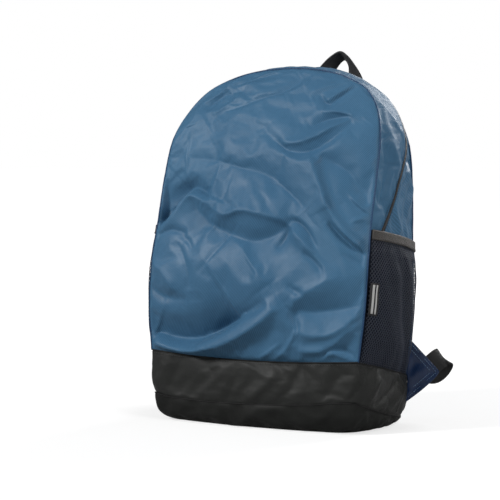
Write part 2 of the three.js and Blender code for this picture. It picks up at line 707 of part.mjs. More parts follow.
// Shoulder straps, hanging behind the back panel. Out is a share of half bodyWidth, back of
// bodyDepth and up of bodyHeight.
const strapRows = [
  { out: 0.34, back: 1.15, up: 0.84 },
  { out: 0.45, back: 1.12, up: 0.7 },
  { out: 0.54, back: 1.03, up: 0.56 },
  { out: 0.6, back: 0.93, up: 0.44 },
];
const strapSlant = { back: 0.1, up: 0.12 }; // of the strap's width
const strapOff = strapThickness / 2 + clearance;

const strapSeamRow = 8.7; // the straps' top ends are sewn on below this place of the rear seam
const strapDrop = 13; // how far below it, clear of the haul loop's feet

function strapStations(side) {
  const top = rearSeam.getPoint(sideT(strapSeamRow, side));
  const hanging = strapRows.map(({ out, back, up }) => ({
    point: at((side * out * bodyWidth) / 2, back * bodyDepth + strapOff, up * bodyHeight),
    across: at(1, side * strapSlant.back, side * strapSlant.up),
  }));
  const across = rearSeam.getTangent(sideT(strapSeamRow, side));
  return [{ point: top.add(at(0, strapOff, -strapDrop)), across }, ...hanging];
}

// Ladder locks, hanging below the straps' ends
function buckleMiddle(side) {
  const end = strapStations(side).at(-1).point;
  const slantDrop = (strapSlant.up * strapWidth) / 2;
  return at(end.x, end.y, end.z - slantDrop - buckleHeight / 2 - seamGap);
}

function slotOutline(middle) {
  const halfWide = (strapWebbing + 1) / 2;
  const halfTall = buckleSlot / 2;
  return new THREE.Path([
    new THREE.Vector2(-halfWide, middle - halfTall), new THREE.Vector2(-halfWide, middle + halfTall),
    new THREE.Vector2(halfWide, middle + halfTall), new THREE.Vector2(halfWide, middle - halfTall),
  ]);
}

const slotPlace = buckleHeight / 5.5; // the slots' middles above and below the buckle's middle

function buckleGeometry() {
  const plate = new THREE.Shape([
    new THREE.Vector2(-buckleWidth / 2, -buckleHeight / 2), new THREE.Vector2(buckleWidth / 2, -buckleHeight / 2),
    new THREE.Vector2(buckleWidth / 2, buckleHeight / 2), new THREE.Vector2(-buckleWidth / 2, buckleHeight / 2),
  ]);
  plate.holes.push(slotOutline(-slotPlace), slotOutline(slotPlace));
  const geometry = new THREE.ExtrudeGeometry(plate, { depth: buckleThickness, bevelEnabled: false });
  return geometry.translate(0, 0, -buckleThickness / 2).rotateX(Math.PI / 2);
}

// Wing tabs, sewn into the rear seam where it meets the base band
const tabOut = at(0.87, 0.49, 0).normalize(); // the way the right tab points
const tabLow = 22; // the sewn edge's lower end above the floor
const tabStandOff = 1;
const tabTip = 2; // left of the cloth's width at the sewn edge's two ends
const mirrored = (p, side) => at(p.x * side, p.y, p.z);
const rearEdge = [
  ...bandGrid.map((row) => row.at(-1)).reverse(),
  ...stations.slice(lastMouth, lastStation).map((t) => rearSeam.getPoint(t)).reverse(),
];

function rearEdgeAt(height) {
  const next = rearEdge.findIndex((p) => p.z > height);
  const [a, b] = [rearEdge[next - 1], rearEdge[next]];
  return between(a, b, (height - a.z) / (b.z - a.z));
}

function tabPoint(up, out) {
  return rearEdgeAt(tabLow + up * tabEdge).addScaledVector(tabOut, tabStandOff + out);
}

function wingTabGeometry(side) {
  const normal = at(-tabOut.y, tabOut.x, 0);
  const layer = (lift) => steps(8).map((up) => steps(3).map((share) => {
    const reach = tabTip + (tabReach - tabTip) * (1 - Math.abs(2 * up - 1));
    return mirrored(tabPoint(up, share * reach).addScaledVector(normal, lift), side);
  }));
  return wallGeometry(layer(tabThickness / 2), layer(-tabThickness / 2));
}

// Webbing from each wing tab: out past the tab's upper edge, rolled over behind it, down to the
// floor behind the base and up through the ladder lock, with its end hanging from there. All
// places are shares of strapWebbing. First the roll: forward is out past the tab's upper edge,
// back is behind the tab, and down is along that edge.
const rollRows = [
  { forward: -0.56, back: 0, down: 0 },
  { forward: 0, back: 0, down: 0 },
  { forward: 0.36, back: 0.06, down: 0.04 },
  { forward: 0.56, back: 0.28, down: 0.16 },
  { forward: 0.4, back: 0.56, down: 0.4 },
  { forward: -0.32, back: 0.72, down: 0.52, across: at(0.5, 0.6, -0.6) },
];
// Then over the floor, from the foot of the body's rear corner: out, back and up
const floorRows = [
  { out: 0.12, back: 0.84, up: 2.08, across: at(0.1, 0.97, -0.2) },
  { out: 0.2, back: 0.88, up: 1.28, across: at(-0.48, 0.87, 0) },
  { out: 0, back: 0.84, up: 0.48, across: at(-0.3, 0.95, 0) },
  { out: -0.48, back: 0.8, up: 0.12, across: at(-0.1, 0.99, 0) },
  { out: -1.04, back: 0.84, up: 0.2, across: at(-0.3, 0.95, 0) },
  { out: -1.44, back: 1.08, up: 0.8, across: at(-0.8, 0.6, 0) },
  { out: -1.64, back: 1.48, up: 2.24, across: at(-0.95, 0.3, 0) },
];
// Last through the ladder lock's lower slot. Face is -1 before the lock and 1 behind it, off is the
// distance from that face, and up is from the slot's middle.
const lockRows = [
  { face: -1, off: 0, up: -1.04 },
  { face: -1, off: 0, up: -0.08 },
  { face: 0, off: 0, up: 0.08 },
  { face: 1, off: 0, up: -0.08 },
  { face: 1, off: 0.04, up: -1.2 },
  { face: 1, off: 0.2, up: -2.48 },
];
const rollInset = 1; // the webbing's edge from the tab's corner

function rollStations() {
  const corner = tabPoint(0.5, tabReach);
  const leg = corner.clone().sub(tabPoint(1, 0)).normalize();
  const start = corner.clone().addScaledVector(leg, -strapWebbing / 2 - rollInset);
  const behind = at(-tabOut.y, tabOut.x, 0);
  const ahead = leg.clone().cross(behind).normalize();
  const sewn = (tabThickness + webbingThickness) / 2 + seamGap;
  return rollRows.map(({ forward, back, down, across = leg }) => ({
    point: start.clone()
      .addScaledVector(ahead, forward * strapWebbing)
      .addScaledVector(behind, back * strapWebbing + sewn)
      .addScaledVector(leg, down * strapWebbing),
    across,
  }));
}

function floorStations() {
  const heel = rearEdge[0];
  return floorRows.map(({ out, back, up, across }) => ({
    point: at(heel.x + out * strapWebbing, heel.y + back * strapWebbing, up * strapWebbing),
    across,
  }));
}

function lockStations() {
  const middle = buckleMiddle(1);
  const beside = (buckleThickness + webbingThickness) / 2 + 2 * seamGap;
  return lockRows.map(({ face, off, up }) => ({
    point: at(
      middle.x,
      middle.y + face * beside + off * strapWebbing,
      middle.z - slotPlace + up * strapWebbing,
    ),
    across: at(-1, 0, 0),
  }));
}

function strapWebbingStations(side) {
  return [...rollStations(), ...floorStations(), ...lockStations()].map(({ point, across }) => ({
    point: mirrored(point, side), across: mirrored(across, side),
  }));
}

for (const [name, side] of [['right', 1], ['left', -1]]) {
  const strap = bandPath(strapStations(side), 22, strapWidth, strapThickness);
  add(`shoulder_strap_${name}`, bandGeometry(strap, paddedSection), 'blue');
  const middle = buckleMiddle(side);
  add(`strap_buckle_${name}`, buckleGeometry(), 'plastic').position.copy(middle);
  add(`wing_tab_${name}`, wingTabGeometry(side), 'deepBlue');
  const webbing = bandPath(strapWebbingStations(side), 68, strapWebbing, webbingThickness);
  add(`strap_webbing_${name}`, bandGeometry(webbing, flatSection), 'webbing');
}

export default group;
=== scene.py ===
import math

import bmesh
import bpy
import numpy as np
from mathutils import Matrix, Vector, noise


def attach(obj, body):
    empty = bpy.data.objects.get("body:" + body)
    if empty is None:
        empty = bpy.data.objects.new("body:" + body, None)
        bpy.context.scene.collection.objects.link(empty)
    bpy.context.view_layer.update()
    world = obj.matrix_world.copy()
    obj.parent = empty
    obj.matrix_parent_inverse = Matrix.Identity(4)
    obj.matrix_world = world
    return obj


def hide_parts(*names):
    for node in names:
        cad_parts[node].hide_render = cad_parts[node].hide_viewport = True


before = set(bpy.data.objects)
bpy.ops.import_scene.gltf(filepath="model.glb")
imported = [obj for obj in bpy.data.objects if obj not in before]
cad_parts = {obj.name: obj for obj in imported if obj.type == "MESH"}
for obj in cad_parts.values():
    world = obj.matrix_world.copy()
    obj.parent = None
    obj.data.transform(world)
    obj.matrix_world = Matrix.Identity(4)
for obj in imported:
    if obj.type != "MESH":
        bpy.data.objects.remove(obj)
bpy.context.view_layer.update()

# Sizes, in millimetres, as the frame has them. Meshes are made in metres.
MM = 0.001
BODY_HEIGHT = 420.0
BODY_WIDTH = 290.0
BODY_DEPTH = 124.0
FRONT_BULGE = 24.0
REAR_BULGE = 7.0
SIDE_BULGE = 7.0
BAND_BULGE = 5.0
ZIP_WIDTH = 9.0
POCKET_GAPE = 10.0
NET_CLEARANCE = 0.5
BINDING_HEIGHT = 11.0
LOOP_WEBBING = 20.0
STRAP_WEBBING = 25.0
WEBBING_THICKNESS = 1.4

# The two seams round the body, from the base band's top edge to the top middle. Up is a share of
# BODY_HEIGHT, out of half BODY_WIDTH, back of BODY_DEPTH; zip is the zip's place across the side.
SEAM_COLUMNS = ("front_up", "front_out", "front_back", "rear_up", "rear_out", "rear_back", "zip")
SEAM_ROWS = np.array([
    (0.2, 0.952, -0.484, 0.135, 0.945, 0.55, 0.2),
    (0.325, 0.99, -0.456, 0.27, 0.985, 0.58, 0.2),
    (0.45, 0.996, -0.4, 0.4, 0.985, 0.61, 0.2),
    (0.555, 0.985, -0.315, 0.506, 0.962, 0.65, 0.19),
    (0.685, 0.982, -0.195, 0.667, 0.93, 0.72, 0.46),
    (0.803, 0.96, -0.06, 0.778, 0.87, 0.8, 0.74),
    (0.883, 0.872, 0.085, 0.848, 0.76, 0.88, 0.81),
    (0.938, 0.735, 0.175, 0.897, 0.625, 0.97, 0.82),
    (0.975, 0.515, 0.225, 0.938, 0.43, 1.055, 0.82),
    (0.995, 0.26, 0.245, 0.962, 0.225, 1.11, 0.8),
    (1.0, 0.0, 0.25, 0.966, 0.0, 1.13, 0.8),
])
POCKET_ROW = 3.0
SHOULDER_ROW = 6.5
LOW_SEAM = dict(front=(0.93, -0.5, 0.083), rear=(0.915, 0.54, 0.025))
FOOT = dict(front=(0.78, -0.37, 0.0), rear=(0.82, 0.48, 0.0))
TOP_BULGE = 0.07
LOW_BULGE = dict(front=0.08, side=0.07, rear=0.04)
FOOT_BULGE = dict(front=0.09, side=0.11, rear=0.04)
BAND_DIP = 0.011

# The camera that took the picture, fitted to the body's outline, and the picture's own frame
CAMERA_AZIMUTH, CAMERA_ELEVATION, CAMERA_DISTANCE = 29.0, 3.0, 2100.0
CAMERA_TARGET = (0.0, 20.0, 207.0)
TARGET_PIXEL = (285.0, 247.0)
PICTURE_SIDE = 500.0
MM_PER_PIXEL = 1.2

# Folds of the front panel, placed by the picture's pixels: a line of three or more points, how wide
# the fold is on the left and on the right of its line, and how far it stands out or in. Widths and
# depths are in millimetres.
FRONT_FOLDS = [
    # Crown
    ([(205, 121), (232, 110), (262, 99), (282, 93), (303, 83)], 12, 30, -6.1),
    ([(203, 106), (222, 93), (246, 73)], 3, 4, 4.1),
    ([(206, 111), (216, 102), (230, 91)], 4, 4, -4.9),
    ([(212, 116), (230, 103), (241, 92)], 4, 5, 3.0),
    ([(250, 80), (262, 75), (279, 71)], 3, 3, 2.7),
    ([(283, 94), (298, 88), (309, 80)], 3, 5, 3.2),
    ([(311, 92), (330, 86), (354, 81)], 4, 4, 3.2),
    ([(204, 104), (193, 122), (178, 140), (167, 160)], 6, 5, 4.1),
    # Flap and the two hollows at the upper right
    ([(327, 107), (340, 98), (355, 88)], 3, 3, -4.9),
    ([(326, 101), (339, 94), (352, 87)], 5, 3, 4.1),
    ([(320, 96), (323, 102), (328, 107)], 3, 3, -4.1),
    ([(308, 129), (321, 122), (337, 119), (351, 117)], 7, 5, -7.4),
    ([(321, 111), (336, 112), (352, 116)], 5, 3, 3.5),
    ([(281, 144), (298, 143), (318, 136), (335, 126), (353, 116)], 6, 3, 4.2),
    ([(273, 141), (286, 151), (300, 154), (314, 150), (331, 140), (351, 122)], 7, 5, -5.6),
    ([(283, 156), (300, 160), (313, 157), (331, 147), (349, 131)], 4, 9, 3.2),
    ([(255, 132), (275, 122), (292, 114)], 7, 8, -2.2),
    # Right side
    ([(320, 158), (342, 170), (356, 186), (368, 205)], 11, 13, -6.8),
    ([(311, 157), (316, 170), (325, 194), (331, 208)], 5, 20, 6.8),
    ([(325, 194), (331, 208), (343, 224), (357, 238), (370, 247)], 4, 12, 6.1),
    ([(328, 223), (345, 241), (369, 259)], 4, 7, -6.8),
    ([(333, 220), (352, 238), (370, 252)], 3, 4, 3.5),
    ([(343, 256), (352, 261), (364, 268)], 4, 4, -3.2),
    ([(350, 197), (361, 207), (371, 215)], 3, 3, 3.2),
    ([(342, 192), (356, 207), (370, 217)], 3, 3, -3.0),
    ([(353, 222), (362, 219), (371, 219)], 3, 3, 2.7),
    # Shoulder band and the left hollow
    ([(186, 158), (213, 162), (241, 170), (267, 178), (284, 192), (302, 210)], 14, 26, -8.8),
    ([(156, 226), (168, 211), (178, 197), (188, 190), (205, 196)], 18, 3.5, -20.0),
    ([(158, 232), (172, 214), (183, 200), (191, 195), (203, 203)], 3.5, 8, 7.0),
    ([(187, 197), (203, 223), (224, 236), (247, 243), (268, 237), (284, 226)], 18, 26, -15.0),
    ([(203, 199), (213, 211), (224, 215), (241, 211), (262, 215), (283, 222)], 16, 5, 5.4),
    ([(157, 235), (171, 231), (184, 234)], 5, 4, -4.1),
    ([(178, 236), (186, 242), (190, 250)], 4, 4, -2.7),
    # Middle: the long bright slope and the peak
    ([(225, 238), (240, 250), (254, 268), (267, 285)], 9, 26, 7.4),
    ([(284, 222), (294, 223), (304, 231), (314, 249)], 4, 3, -6.1),
    ([(290, 230), (303, 241), (314, 253)], 3, 9, 4.9),
    ([(287, 224), (282, 237), (273, 250)], 5, 6, -4.9),
    ([(302, 253), (311, 260), (321, 271)], 3, 4, -4.6),
    ([(287, 287), (295, 291), (303, 294)], 3, 4, -3.5),
    # Low ridge and the deep hollow above it
    ([(154, 332), (174, 339), (192, 339), (208, 334), (222, 326), (236, 318)], 28, 5, -24.0),
    ([(206, 334), (224, 324), (240, 317), (254, 311), (266, 304)], 9, 5, -7.5),
    ([(152, 344), (180, 352), (205, 349), (227, 343), (246, 333), (262, 322), (277, 308)], 14, 9, 11.5),
    ([(290, 309), (300, 297), (313, 289), (327, 281), (341, 276)], 11, 16, 6.2),
    ([(293, 311), (308, 313), (328, 311), (360, 306)], 15, 8, -8.1),
    ([(290, 311), (294, 321), (298, 332)], 4, 5, -4.1),
    ([(298, 332), (312, 336), (332, 334), (352, 322), (367, 312)], 11, 5, 5.4),
    ([(299, 350), (315, 352), (328, 350), (343, 338), (353, 329)], 8, 4, 5.1),
    ([(322, 356), (330, 350), (340, 350), (353, 356)], 4, 3, -4.1),
    ([(321, 361), (331, 355), (341, 356), (353, 362)], 3, 4, 4.1),
    ([(255, 362), (266, 355), (280, 344)], 3, 3, 3.2),
    ([(271, 362), (286, 350), (296, 331)], 3, 4, 3.5),
    ([(350, 325), (358, 320), (368, 315)], 3, 3, -3.2),
    ([(355, 329), (361, 325), (368, 321)], 3, 3, 2.7),
    # Lower left, which stands behind the pouch in the picture
    ([(150, 258), (163, 272), (174, 292)], 6, 9, 4.9),
    ([(150, 285), (163, 296), (185, 300)], 9, 6, -4.1),
    ([(180, 250), (186, 268), (188, 290)], 7, 7, -2.7),
]

# Folds of the strips beside the zip, placed and given the same way
SIDE_FOLDS = [
    ([(378, 100), (386, 119), (391, 137), (394, 154), (393, 168), (390, 183), (386, 198)], 8, 5, 4.5),
    ([(379, 103), (391, 118), (398, 132), (403, 142)], 4, 4, 3.0),
    ([(380, 107), (383, 125), (385, 145), (386, 165)], 4, 4, -3.5),
    ([(377, 138), (381, 139.5), (386, 138)], 2, 2, -2.5),
    ([(391, 162), (386, 184), (380, 206)], 4, 4, -3.0),
    ([(383, 170), (380, 190), (377, 212)], 3, 4, 2.5),
    ([(402, 160), (409, 161), (416, 167)], 3, 2, -4.0),
    ([(408, 170), (411, 190), (410, 207)], 3, 3, 3.0),
    ([(404, 150), (405, 175), (402, 200)], 4, 4, -3.0),
    ([(394, 200), (397, 215), (402, 232)], 4, 3, 2.5),
    ([(388, 205), (392, 220), (393, 236)], 3, 3, -2.5),
]

# Folds of the black band and base, placed and given the same way
LOW_FOLDS = [
    ([(250, 399), (264, 386), (276, 371)], 5, 5, 3.6),
    ([(281, 397), (291, 387), (296, 372)], 4, 4, -3.4),
    ([(299, 364), (306, 372), (314, 381)], 4, 4, -3.0),
    ([(330, 384), (341, 376), (353, 370)], 5, 4, -3.0),
    ([(224, 402), (232, 391), (240, 374)], 4, 5, -2.8),
    ([(200, 396), (212, 386), (230, 366)], 5, 5, 2.6),
    ([(366, 400), (371, 389), (378, 378)], 6, 5, 3.8),
    ([(396, 379), (388, 391), (373, 406)], 3, 5, -5.0),
    ([(401, 384), (396, 394), (389, 404)], 4, 4, 3.4),
    ([(346, 403), (352, 395), (356, 384)], 4, 4, -2.6),
    ([(349, 428), (356, 421), (365, 412)], 4, 4, 2.6),
    ([(376, 426), (385, 419), (394, 414)], 4, 4, 2.4),
    ([(300, 432), (318, 422), (330, 411)], 6, 6, 1.8),
    ([(236, 430), (248, 418), (262, 409)], 6, 6, 1.8),
]


# Curves and surfaces
def rows_to_points(side):
    """The seam's points on the right side, from the base band's top up to the top middle."""
    up, out, back = (SEAM_ROWS[:, SEAM_COLUMNS.index(f"{side}_{name}")] for name in ("up", "out", "back"))
    return np.stack([out * BODY_WIDTH / 2, back * BODY_DEPTH, up * BODY_HEIGHT], axis=1)


def mirror(points):
    return np.asarray(points, float) * np.array([-1.0, 1.0, 1.0])


def curve(points, t):
    """A smooth curve through the points: t from 0 to 1 is spread evenly over its spans."""
    points = np.asarray(points, float)
    t = np.asarray(t, float)
    spans = len(points) - 1
    place = np.clip(t, 0, 1) * spans
    low = np.minimum(np.floor(place).astype(int), spans - 1)
    w = (place - low)[..., None]
    ends = np.concatenate([[2 * points[0] - points[1]], points, [2 * points[-1] - points[-2]]])
    p0, p1, p2, p3 = (ends[low + k] for k in range(4))

    def root(a, b):
        return np.maximum(np.sum((b - a) ** 2, axis=-1), 1e-9)[..., None] ** 0.25

    d0, d1, d2 = root(p0, p1), root(p1, p2), root(p2, p3)
    t1 = ((p1 - p0) / d0 - (p2 - p0) / (d0 + d1) + (p2 - p1) / d1) * d1
    t2 = ((p2 - p1) / d1 - (p3 - p1) / (d1 + d2) + (p3 - p2) / d2) * d1
    c2 = -3 * p1 + 3 * p2 - 2 * t1 - t2
    c3 = 2 * p1 - 2 * p2 + t1 + t2
    return p1 + t1 * w + c2 * w**2 + c3 * w**3


FRONT_POINTS = np.concatenate([mirror(rows_to_points("front")[:-1]), rows_to_points("front")[::-1]])
REAR_POINTS = np.concatenate([mirror(rows_to_points("rear")[:-1]), rows_to_points("rear")[::-1]])
ROW_COUNT = 2 * (len(SEAM_ROWS) - 1)


def front_seam(t):
    return curve(FRONT_POINTS, t)


def rear_seam(t):
    return curve(REAR_POINTS, t)


def side_t(row, side):
    return row / ROW_COUNT if side < 0 else 1 - row / ROW_COUNT


def zip_share(t):
    row = np.minimum(t, 1 - t) * ROW_COUNT
    return np.interp(row, np.arange(len(SEAM_ROWS)), SEAM_ROWS[:, -1])


def unit(v):
    return v / np.maximum(np.linalg.norm(v, axis=-1, keepdims=True), 1e-12)


def strip_out(t):
    step = 0.004
    along = front_seam(np.minimum(t + step, 1)) - front_seam(np.maximum(t - step, 0))
    return unit(np.cross(along, rear_seam(t) - front_seam(t)))


def hump(s):
    return 4 * s * (1 - s)


def strip_point(t, share, lift=0.0):
    """A point between the two seams: share 0 at the front seam, 1 at the rear one."""
    t, share, lift = np.broadcast_arrays(t, share, lift)
    flat = front_seam(t) * (1 - share[..., None]) + rear_seam(t) * share[..., None]
    return flat + strip_out(t) * (SIDE_BULGE * hump(share) + lift)[..., None]


def shaped(out, back, up):
    return np.array([out * BODY_WIDTH / 2, back * BODY_DEPTH, up * BODY_HEIGHT])


def bulged(a, b, share, bulge, direction):
    share = np.asarray(share)[..., None]
    return a * (1 - share) + b * share + np.asarray(direction) * bulge * hump(share)


def band_top_front(share):
    right = rows_to_points("front")[0]
    line = bulged(mirror(right), right, share, TOP_BULGE * BODY_DEPTH, (0, -1, 0))
    line[..., 2] -= BAND_DIP * BODY_HEIGHT * hump(share)
    return line


# How far the low seam has slipped up or down along its front and right sides, by share of each side
LOW_SLIP = dict(
    front=[(0.0, -2.0), (0.08, -4.5), (0.3, -3.0), (0.55, -1.0), (0.8, 0.5), (0.93, 3.5), (1.0, 2.0)],
    right=[(0.0, 2.0), (0.2, -2.0), (0.5, -5.5), (0.85, -6.0), (1.0, -3.0)],
    rear=[(0.0, -3.0), (0.3, 0.0), (1.0, 0.0)],
    left=[(0.0, 0.0), (0.7, 0.0), (1.0, -2.0)],
)


def loop_edge(places, bulges, side, share):
    """One side of a loop round the base. The sides run anticlockwise from the left rear corner."""
    front, rear = shaped(*places["front"]), shaped(*places["rear"])
    a, b, direction = dict(
        left=(mirror(rear), mirror(front), (-1, 0, 0)),
        front=(mirror(front), front, (0, -1, 0)),
        right=(front, rear, (1, 0, 0)),
        rear=(rear, mirror(rear), (0, 1, 0)),
    )[side]
    bulge = bulges["side" if side in ("left", "right") else side]
    return bulged(a, b, share, bulge * BODY_DEPTH, direction)


def low_edge(side, share):
    line = loop_edge(LOW_SEAM, LOW_BULGE, side, share)
    if side == "front":
        line[..., 2] -= BAND_DIP * BODY_HEIGHT * hump(share)
    places, slips = zip(*LOW_SLIP[side])
    line[..., 2] += np.interp(share, places, slips)
    return line


def foot_edge(side, share):
    return loop_edge(FOOT, FOOT_BULGE, side, share)


def spanned(bottom, top, left, right):
    """A grid inside four edges. Bottom and top run left to right, left and right run upwards."""
    u = np.linspace(0, 1, len(bottom))[None, :, None]
    w = np.linspace(0, 1, len(left))[:, None, None]
    upright = bottom[None] * (1 - w) + top[None] * w
    level = left[:, None] * (1 - u) + right[:, None] * u
    low = bottom[0] * (1 - u) + bottom[-1] * u
    high = top[0] * (1 - u) + top[-1] * u
    return upright + level - (low * (1 - w) + high * w)


def swell(u, w, fullness=0.8):
    return hump(u) ** 0.7 * np.sin(np.pi * w**fullness) ** 0.6


def camera_axes():
    """The directions to the picture's right, up and back towards the camera."""
    azimuth, elevation = math.radians(CAMERA_AZIMUTH), math.radians(CAMERA_ELEVATION)
    right = np.array([math.cos(azimuth), math.sin(azimuth), 0.0])
    back = np.array([
        math.sin(azimuth) * math.cos(elevation),
        -math.cos(azimuth) * math.cos(elevation),
        math.sin(elevation),
    ])
    return right, np.cross(back, right), back


def picture_place(points):
    """Where the camera sees the points: pixels to the right, and pixels down as negative numbers."""
    right, up, back = camera_axes()
    away = np.asarray(points) - np.array(CAMERA_TARGET)
    size = MM_PER_PIXEL * (1 - away @ back / CAMERA_DISTANCE)
    return TARGET_PIXEL[0] + away @ right / size, -TARGET_PIXEL[1] + away @ up / size


def smoothstep(value, low, high):
    s = np.clip((value - low) / (high - low), 0, 1)
    return s * s * (3 - 2 * s)


# Meshes
def mesh_object(name, points, faces, smooth=True):
    """A piece from points in millimetres and faces of three or more corners."""
    mesh = bpy.data.meshes.new(name)
    mesh.from_pydata([tuple(p) for p in np.asarray(points) * MM], [], [tuple(f) for f in faces])
    mesh.validate()
    if smooth:
        mesh.polygons.foreach_set("use_smooth", [True] * len(mesh.polygons))
    mesh.update()
    obj = bpy.data.objects.new(name, mesh)
    bpy.context.scene.collection.objects.link(obj)
    return obj


def grid_faces(rows, columns, closed=False, start=0, flip=False):
    across = columns if closed else columns - 1
    j, i = np.meshgrid(np.arange(rows - 1), np.arange(across), indexing="ij")
    nxt = (i + 1) % columns
    quads = np.stack([j * columns + i, j * columns + nxt, (j + 1) * columns + nxt, (j + 1) * columns + i], -1)
    quads = quads.reshape(-1, 4) + start
    return quads[:, ::-1] if flip else quads


def grid_object(name, grid, closed=False, flip=False):
    rows, columns = grid.shape[:2]
    return mesh_object(name, grid.reshape(-1, 3), grid_faces(rows, columns, closed, flip=flip))


def wobble(points, size, seed):
    """Smooth noise from about -1 to 1 at each point, with bumps of about the given size."""
    offset = Vector((seed * 7.31, seed * 3.17, seed * 5.93))
    flat = np.asarray(points).reshape(-1, 3) / size
    values = [noise.noise(Vector(p) + offset) for p in flat]
    return np.array(values).reshape(np.asarray(points).shape[:-1]) * 1.8


# Materials. Cloth reads the "cloth" UV map, whose unit is a metre along the weave.
class Nodes:
    """A material's node tree, with short ways to add nodes and join them."""

    def __init__(self, name):
        self.material = bpy.data.materials.new(name)
        self.material.use_nodes = True
        self.tree = self.material.node_tree
        self.shader = self.tree.nodes["Principled BSDF"]

    def node(self, kind, inputs=(), **settings):
        made = self.tree.nodes.new(kind)
        for key, value in settings.items():
            setattr(made, key, value)
        for key, value in dict(inputs).items():
            self.set(made.inputs[key], value)
        return made

    def set(self, socket, value):
        if isinstance(value, bpy.types.NodeSocket):
            self.tree.links.new(value, socket)
        elif isinstance(value, bpy.types.Node):
            self.tree.links.new(value.outputs[0], socket)
        else:
            socket.default_value = value

    def math(self, operation, a, b=0.0, c=0.0):
        return self.node("ShaderNodeMath", {0: a, 1: b, 2: c}, operation=operation)

    def between(self, value, low, high, to_low=0.0, to_high=1.0):
        inputs = {"Value": value, "From Min": low, "From Max": high, "To Min": to_low, "To Max": to_high}
        return self.node("ShaderNodeMapRange", inputs, interpolation_type="SMOOTHSTEP").outputs[0]

    def mix(self, factor, a, b):
        made = self.node("ShaderNodeMix", data_type="RGBA")
        self.set(made.inputs[0], factor)
        self.set(made.inputs[6], a)
        self.set(made.inputs[7], b)
        return made.outputs[2]

    def noise(self, vector, scale, detail=3.0, roughness=0.5):
        inputs = {"Vector": vector, "Scale": scale, "Detail": detail, "Roughness": roughness}
        return self.node("ShaderNodeTexNoise", inputs).outputs[0]

    def weave_lines(self, coordinate, pitch, wide):
        """1 on thin lines every pitch metres along the coordinate, and 0 between them."""
        place = self.math("FRACT", self.math("DIVIDE", coordinate, pitch))
        away = self.math("ABSOLUTE", self.math("SUBTRACT", place, 0.5))
        return self.between(away, wide, wide * 0.4)

    def bump(self, height, strength, distance, before=None):
        inputs = {"Height": height, "Strength": strength, "Distance": distance}
        if before is not None:
            inputs["Normal"] = before
        return self.node("ShaderNodeBump", inputs).outputs[0]

    def finish(self, color, roughness, normal=None, specular=0.5, sheen=0.0, metallic=0.0, coat=0.0):
        put = self.shader.inputs
        self.set(put["Base Color"], color)
        self.set(put["Roughness"], roughness)
        put["Specular IOR Level"].default_value = specular
        put["Sheen Weight"].default_value = sheen
        put["Sheen Roughness"].default_value = 0.35
        put["Metallic"].default_value = metallic
        put["Coat Weight"].default_value = coat
        put["Coat Roughness"].default_value = 0.3
        if normal is not None:
            self.set(put["Normal"], normal)
        return self.material


def rgb(red, green, blue):
    """A colour given as the 0 to 255 values that a screen shows."""
    def linear(value):
        value /= 255
        return value / 12.92 if value <= 0.04045 else ((value + 0.055) / 1.055) ** 2.4
    return (linear(red), linear(green), linear(blue), 1.0)


WEAVE_TURN = math.radians(30)


def cloth_material(name, light, dark, roughness, specular, sheen, pitch=0.0019, creases=0.25, coat=0.0):
    """Thin ripstop cloth: fine raised lines both ways, soft crumple marks with painted shade darkening their crease
    lines, and slight colour change.
    """
    n = Nodes(name)
    uv = n.node("ShaderNodeUVMap", uv_map="cloth").outputs[0]
    turned = n.node("ShaderNodeVectorRotate", {"Vector": uv, "Angle": WEAVE_TURN}, rotation_type="Z_AXIS")
    split = n.node("ShaderNodeSeparateXYZ", {0: turned})
    place = n.node("ShaderNodeTexCoord").outputs["Object"]
    lines_u = n.weave_lines(split.outputs[0], pitch, 0.24)
    lines_v = n.weave_lines(split.outputs[1], pitch, 0.16)
    lines = n.math("MAXIMUM", lines_u, n.math("MULTIPLY", lines_v, 0.4))
    threads = n.noise(uv, 2600.0, 1.0)
    crumple = n.noise(place, 22.0, 4.0, 0.55)
    ridges = n.math("ABSOLUTE", n.math("SUBTRACT", n.noise(place, 34.0, 3.0, 0.6), 0.5))
    cloudy = n.noise(place, 5.0, 2.0)
    color = n.mix(n.between(cloudy, 0.35, 0.65), dark, light)
    color = n.mix(n.math("MULTIPLY", lines, 0.5), color, tuple(min(c * 1.7, 1) for c in light[:3]) + (1,))
    # Painted shade: the colour darkens towards dark along the crease lines of the ridges noise, where the bump makes
    # creases.
    color = n.mix(n.math("MULTIPLY", n.between(ridges, 0.03, 0.0), 0.12), color, dark)
    normal = n.bump(ridges, creases, 0.003)
    normal = n.bump(crumple, creases, 0.002, normal)
    normal = n.bump(lines, 0.5, 0.0001, normal)
    normal = n.bump(threads, 0.12, 0.0001, normal)
    rough = n.between(crumple, 0.3, 0.7, roughness - 0.05, roughness + 0.07)
    return n.finish(color, rough, normal, specular, sheen, coat=coat)


def webbing_material(name, light, dark, pitch=0.0022, rough_yarn=0.4):
    """Flat woven webbing: ribs across it with a herringbone offset, and matt yarn."""
    n = Nodes(name)
    uv = n.node("ShaderNodeUVMap", uv_map="cloth").outputs[0]
    split = n.node("ShaderNodeSeparateXYZ", {0: uv})
    zigzag = n.math("PINGPONG", split.outputs[0], pitch)
    ribs = n.weave_lines(n.math("ADD", split.outputs[1], zigzag), pitch * 0.6, 0.35)
    chains = n.weave_lines(split.outputs[0], pitch, 0.2)
    fuzz = n.noise(uv, 3000.0, 2.0)
    color = n.mix(ribs, dark, light)
    color = n.mix(n.math("MULTIPLY", fuzz, rough_yarn), color, dark)
    normal = n.bump(ribs, 0.7, 0.0003)
    normal = n.bump(chains, 0.5, 0.0002, normal)
    normal = n.bump(fuzz, rough_yarn * 0.5, 0.0002, normal)
    return n.finish(color, 0.6, normal, 0.3, 0.08)


def thread_material(name, light, dark, roughness=0.55, sheen=0.1):
    n = Nodes(name)
    place = n.node("ShaderNodeTexCoord").outputs["Object"]
    twist = n.noise(place, 2500.0, 1.0)
    return n.finish(n.mix(twist, dark, light), roughness, n.bump(twist, 0.4, 0.0001), 0.45, sheen)


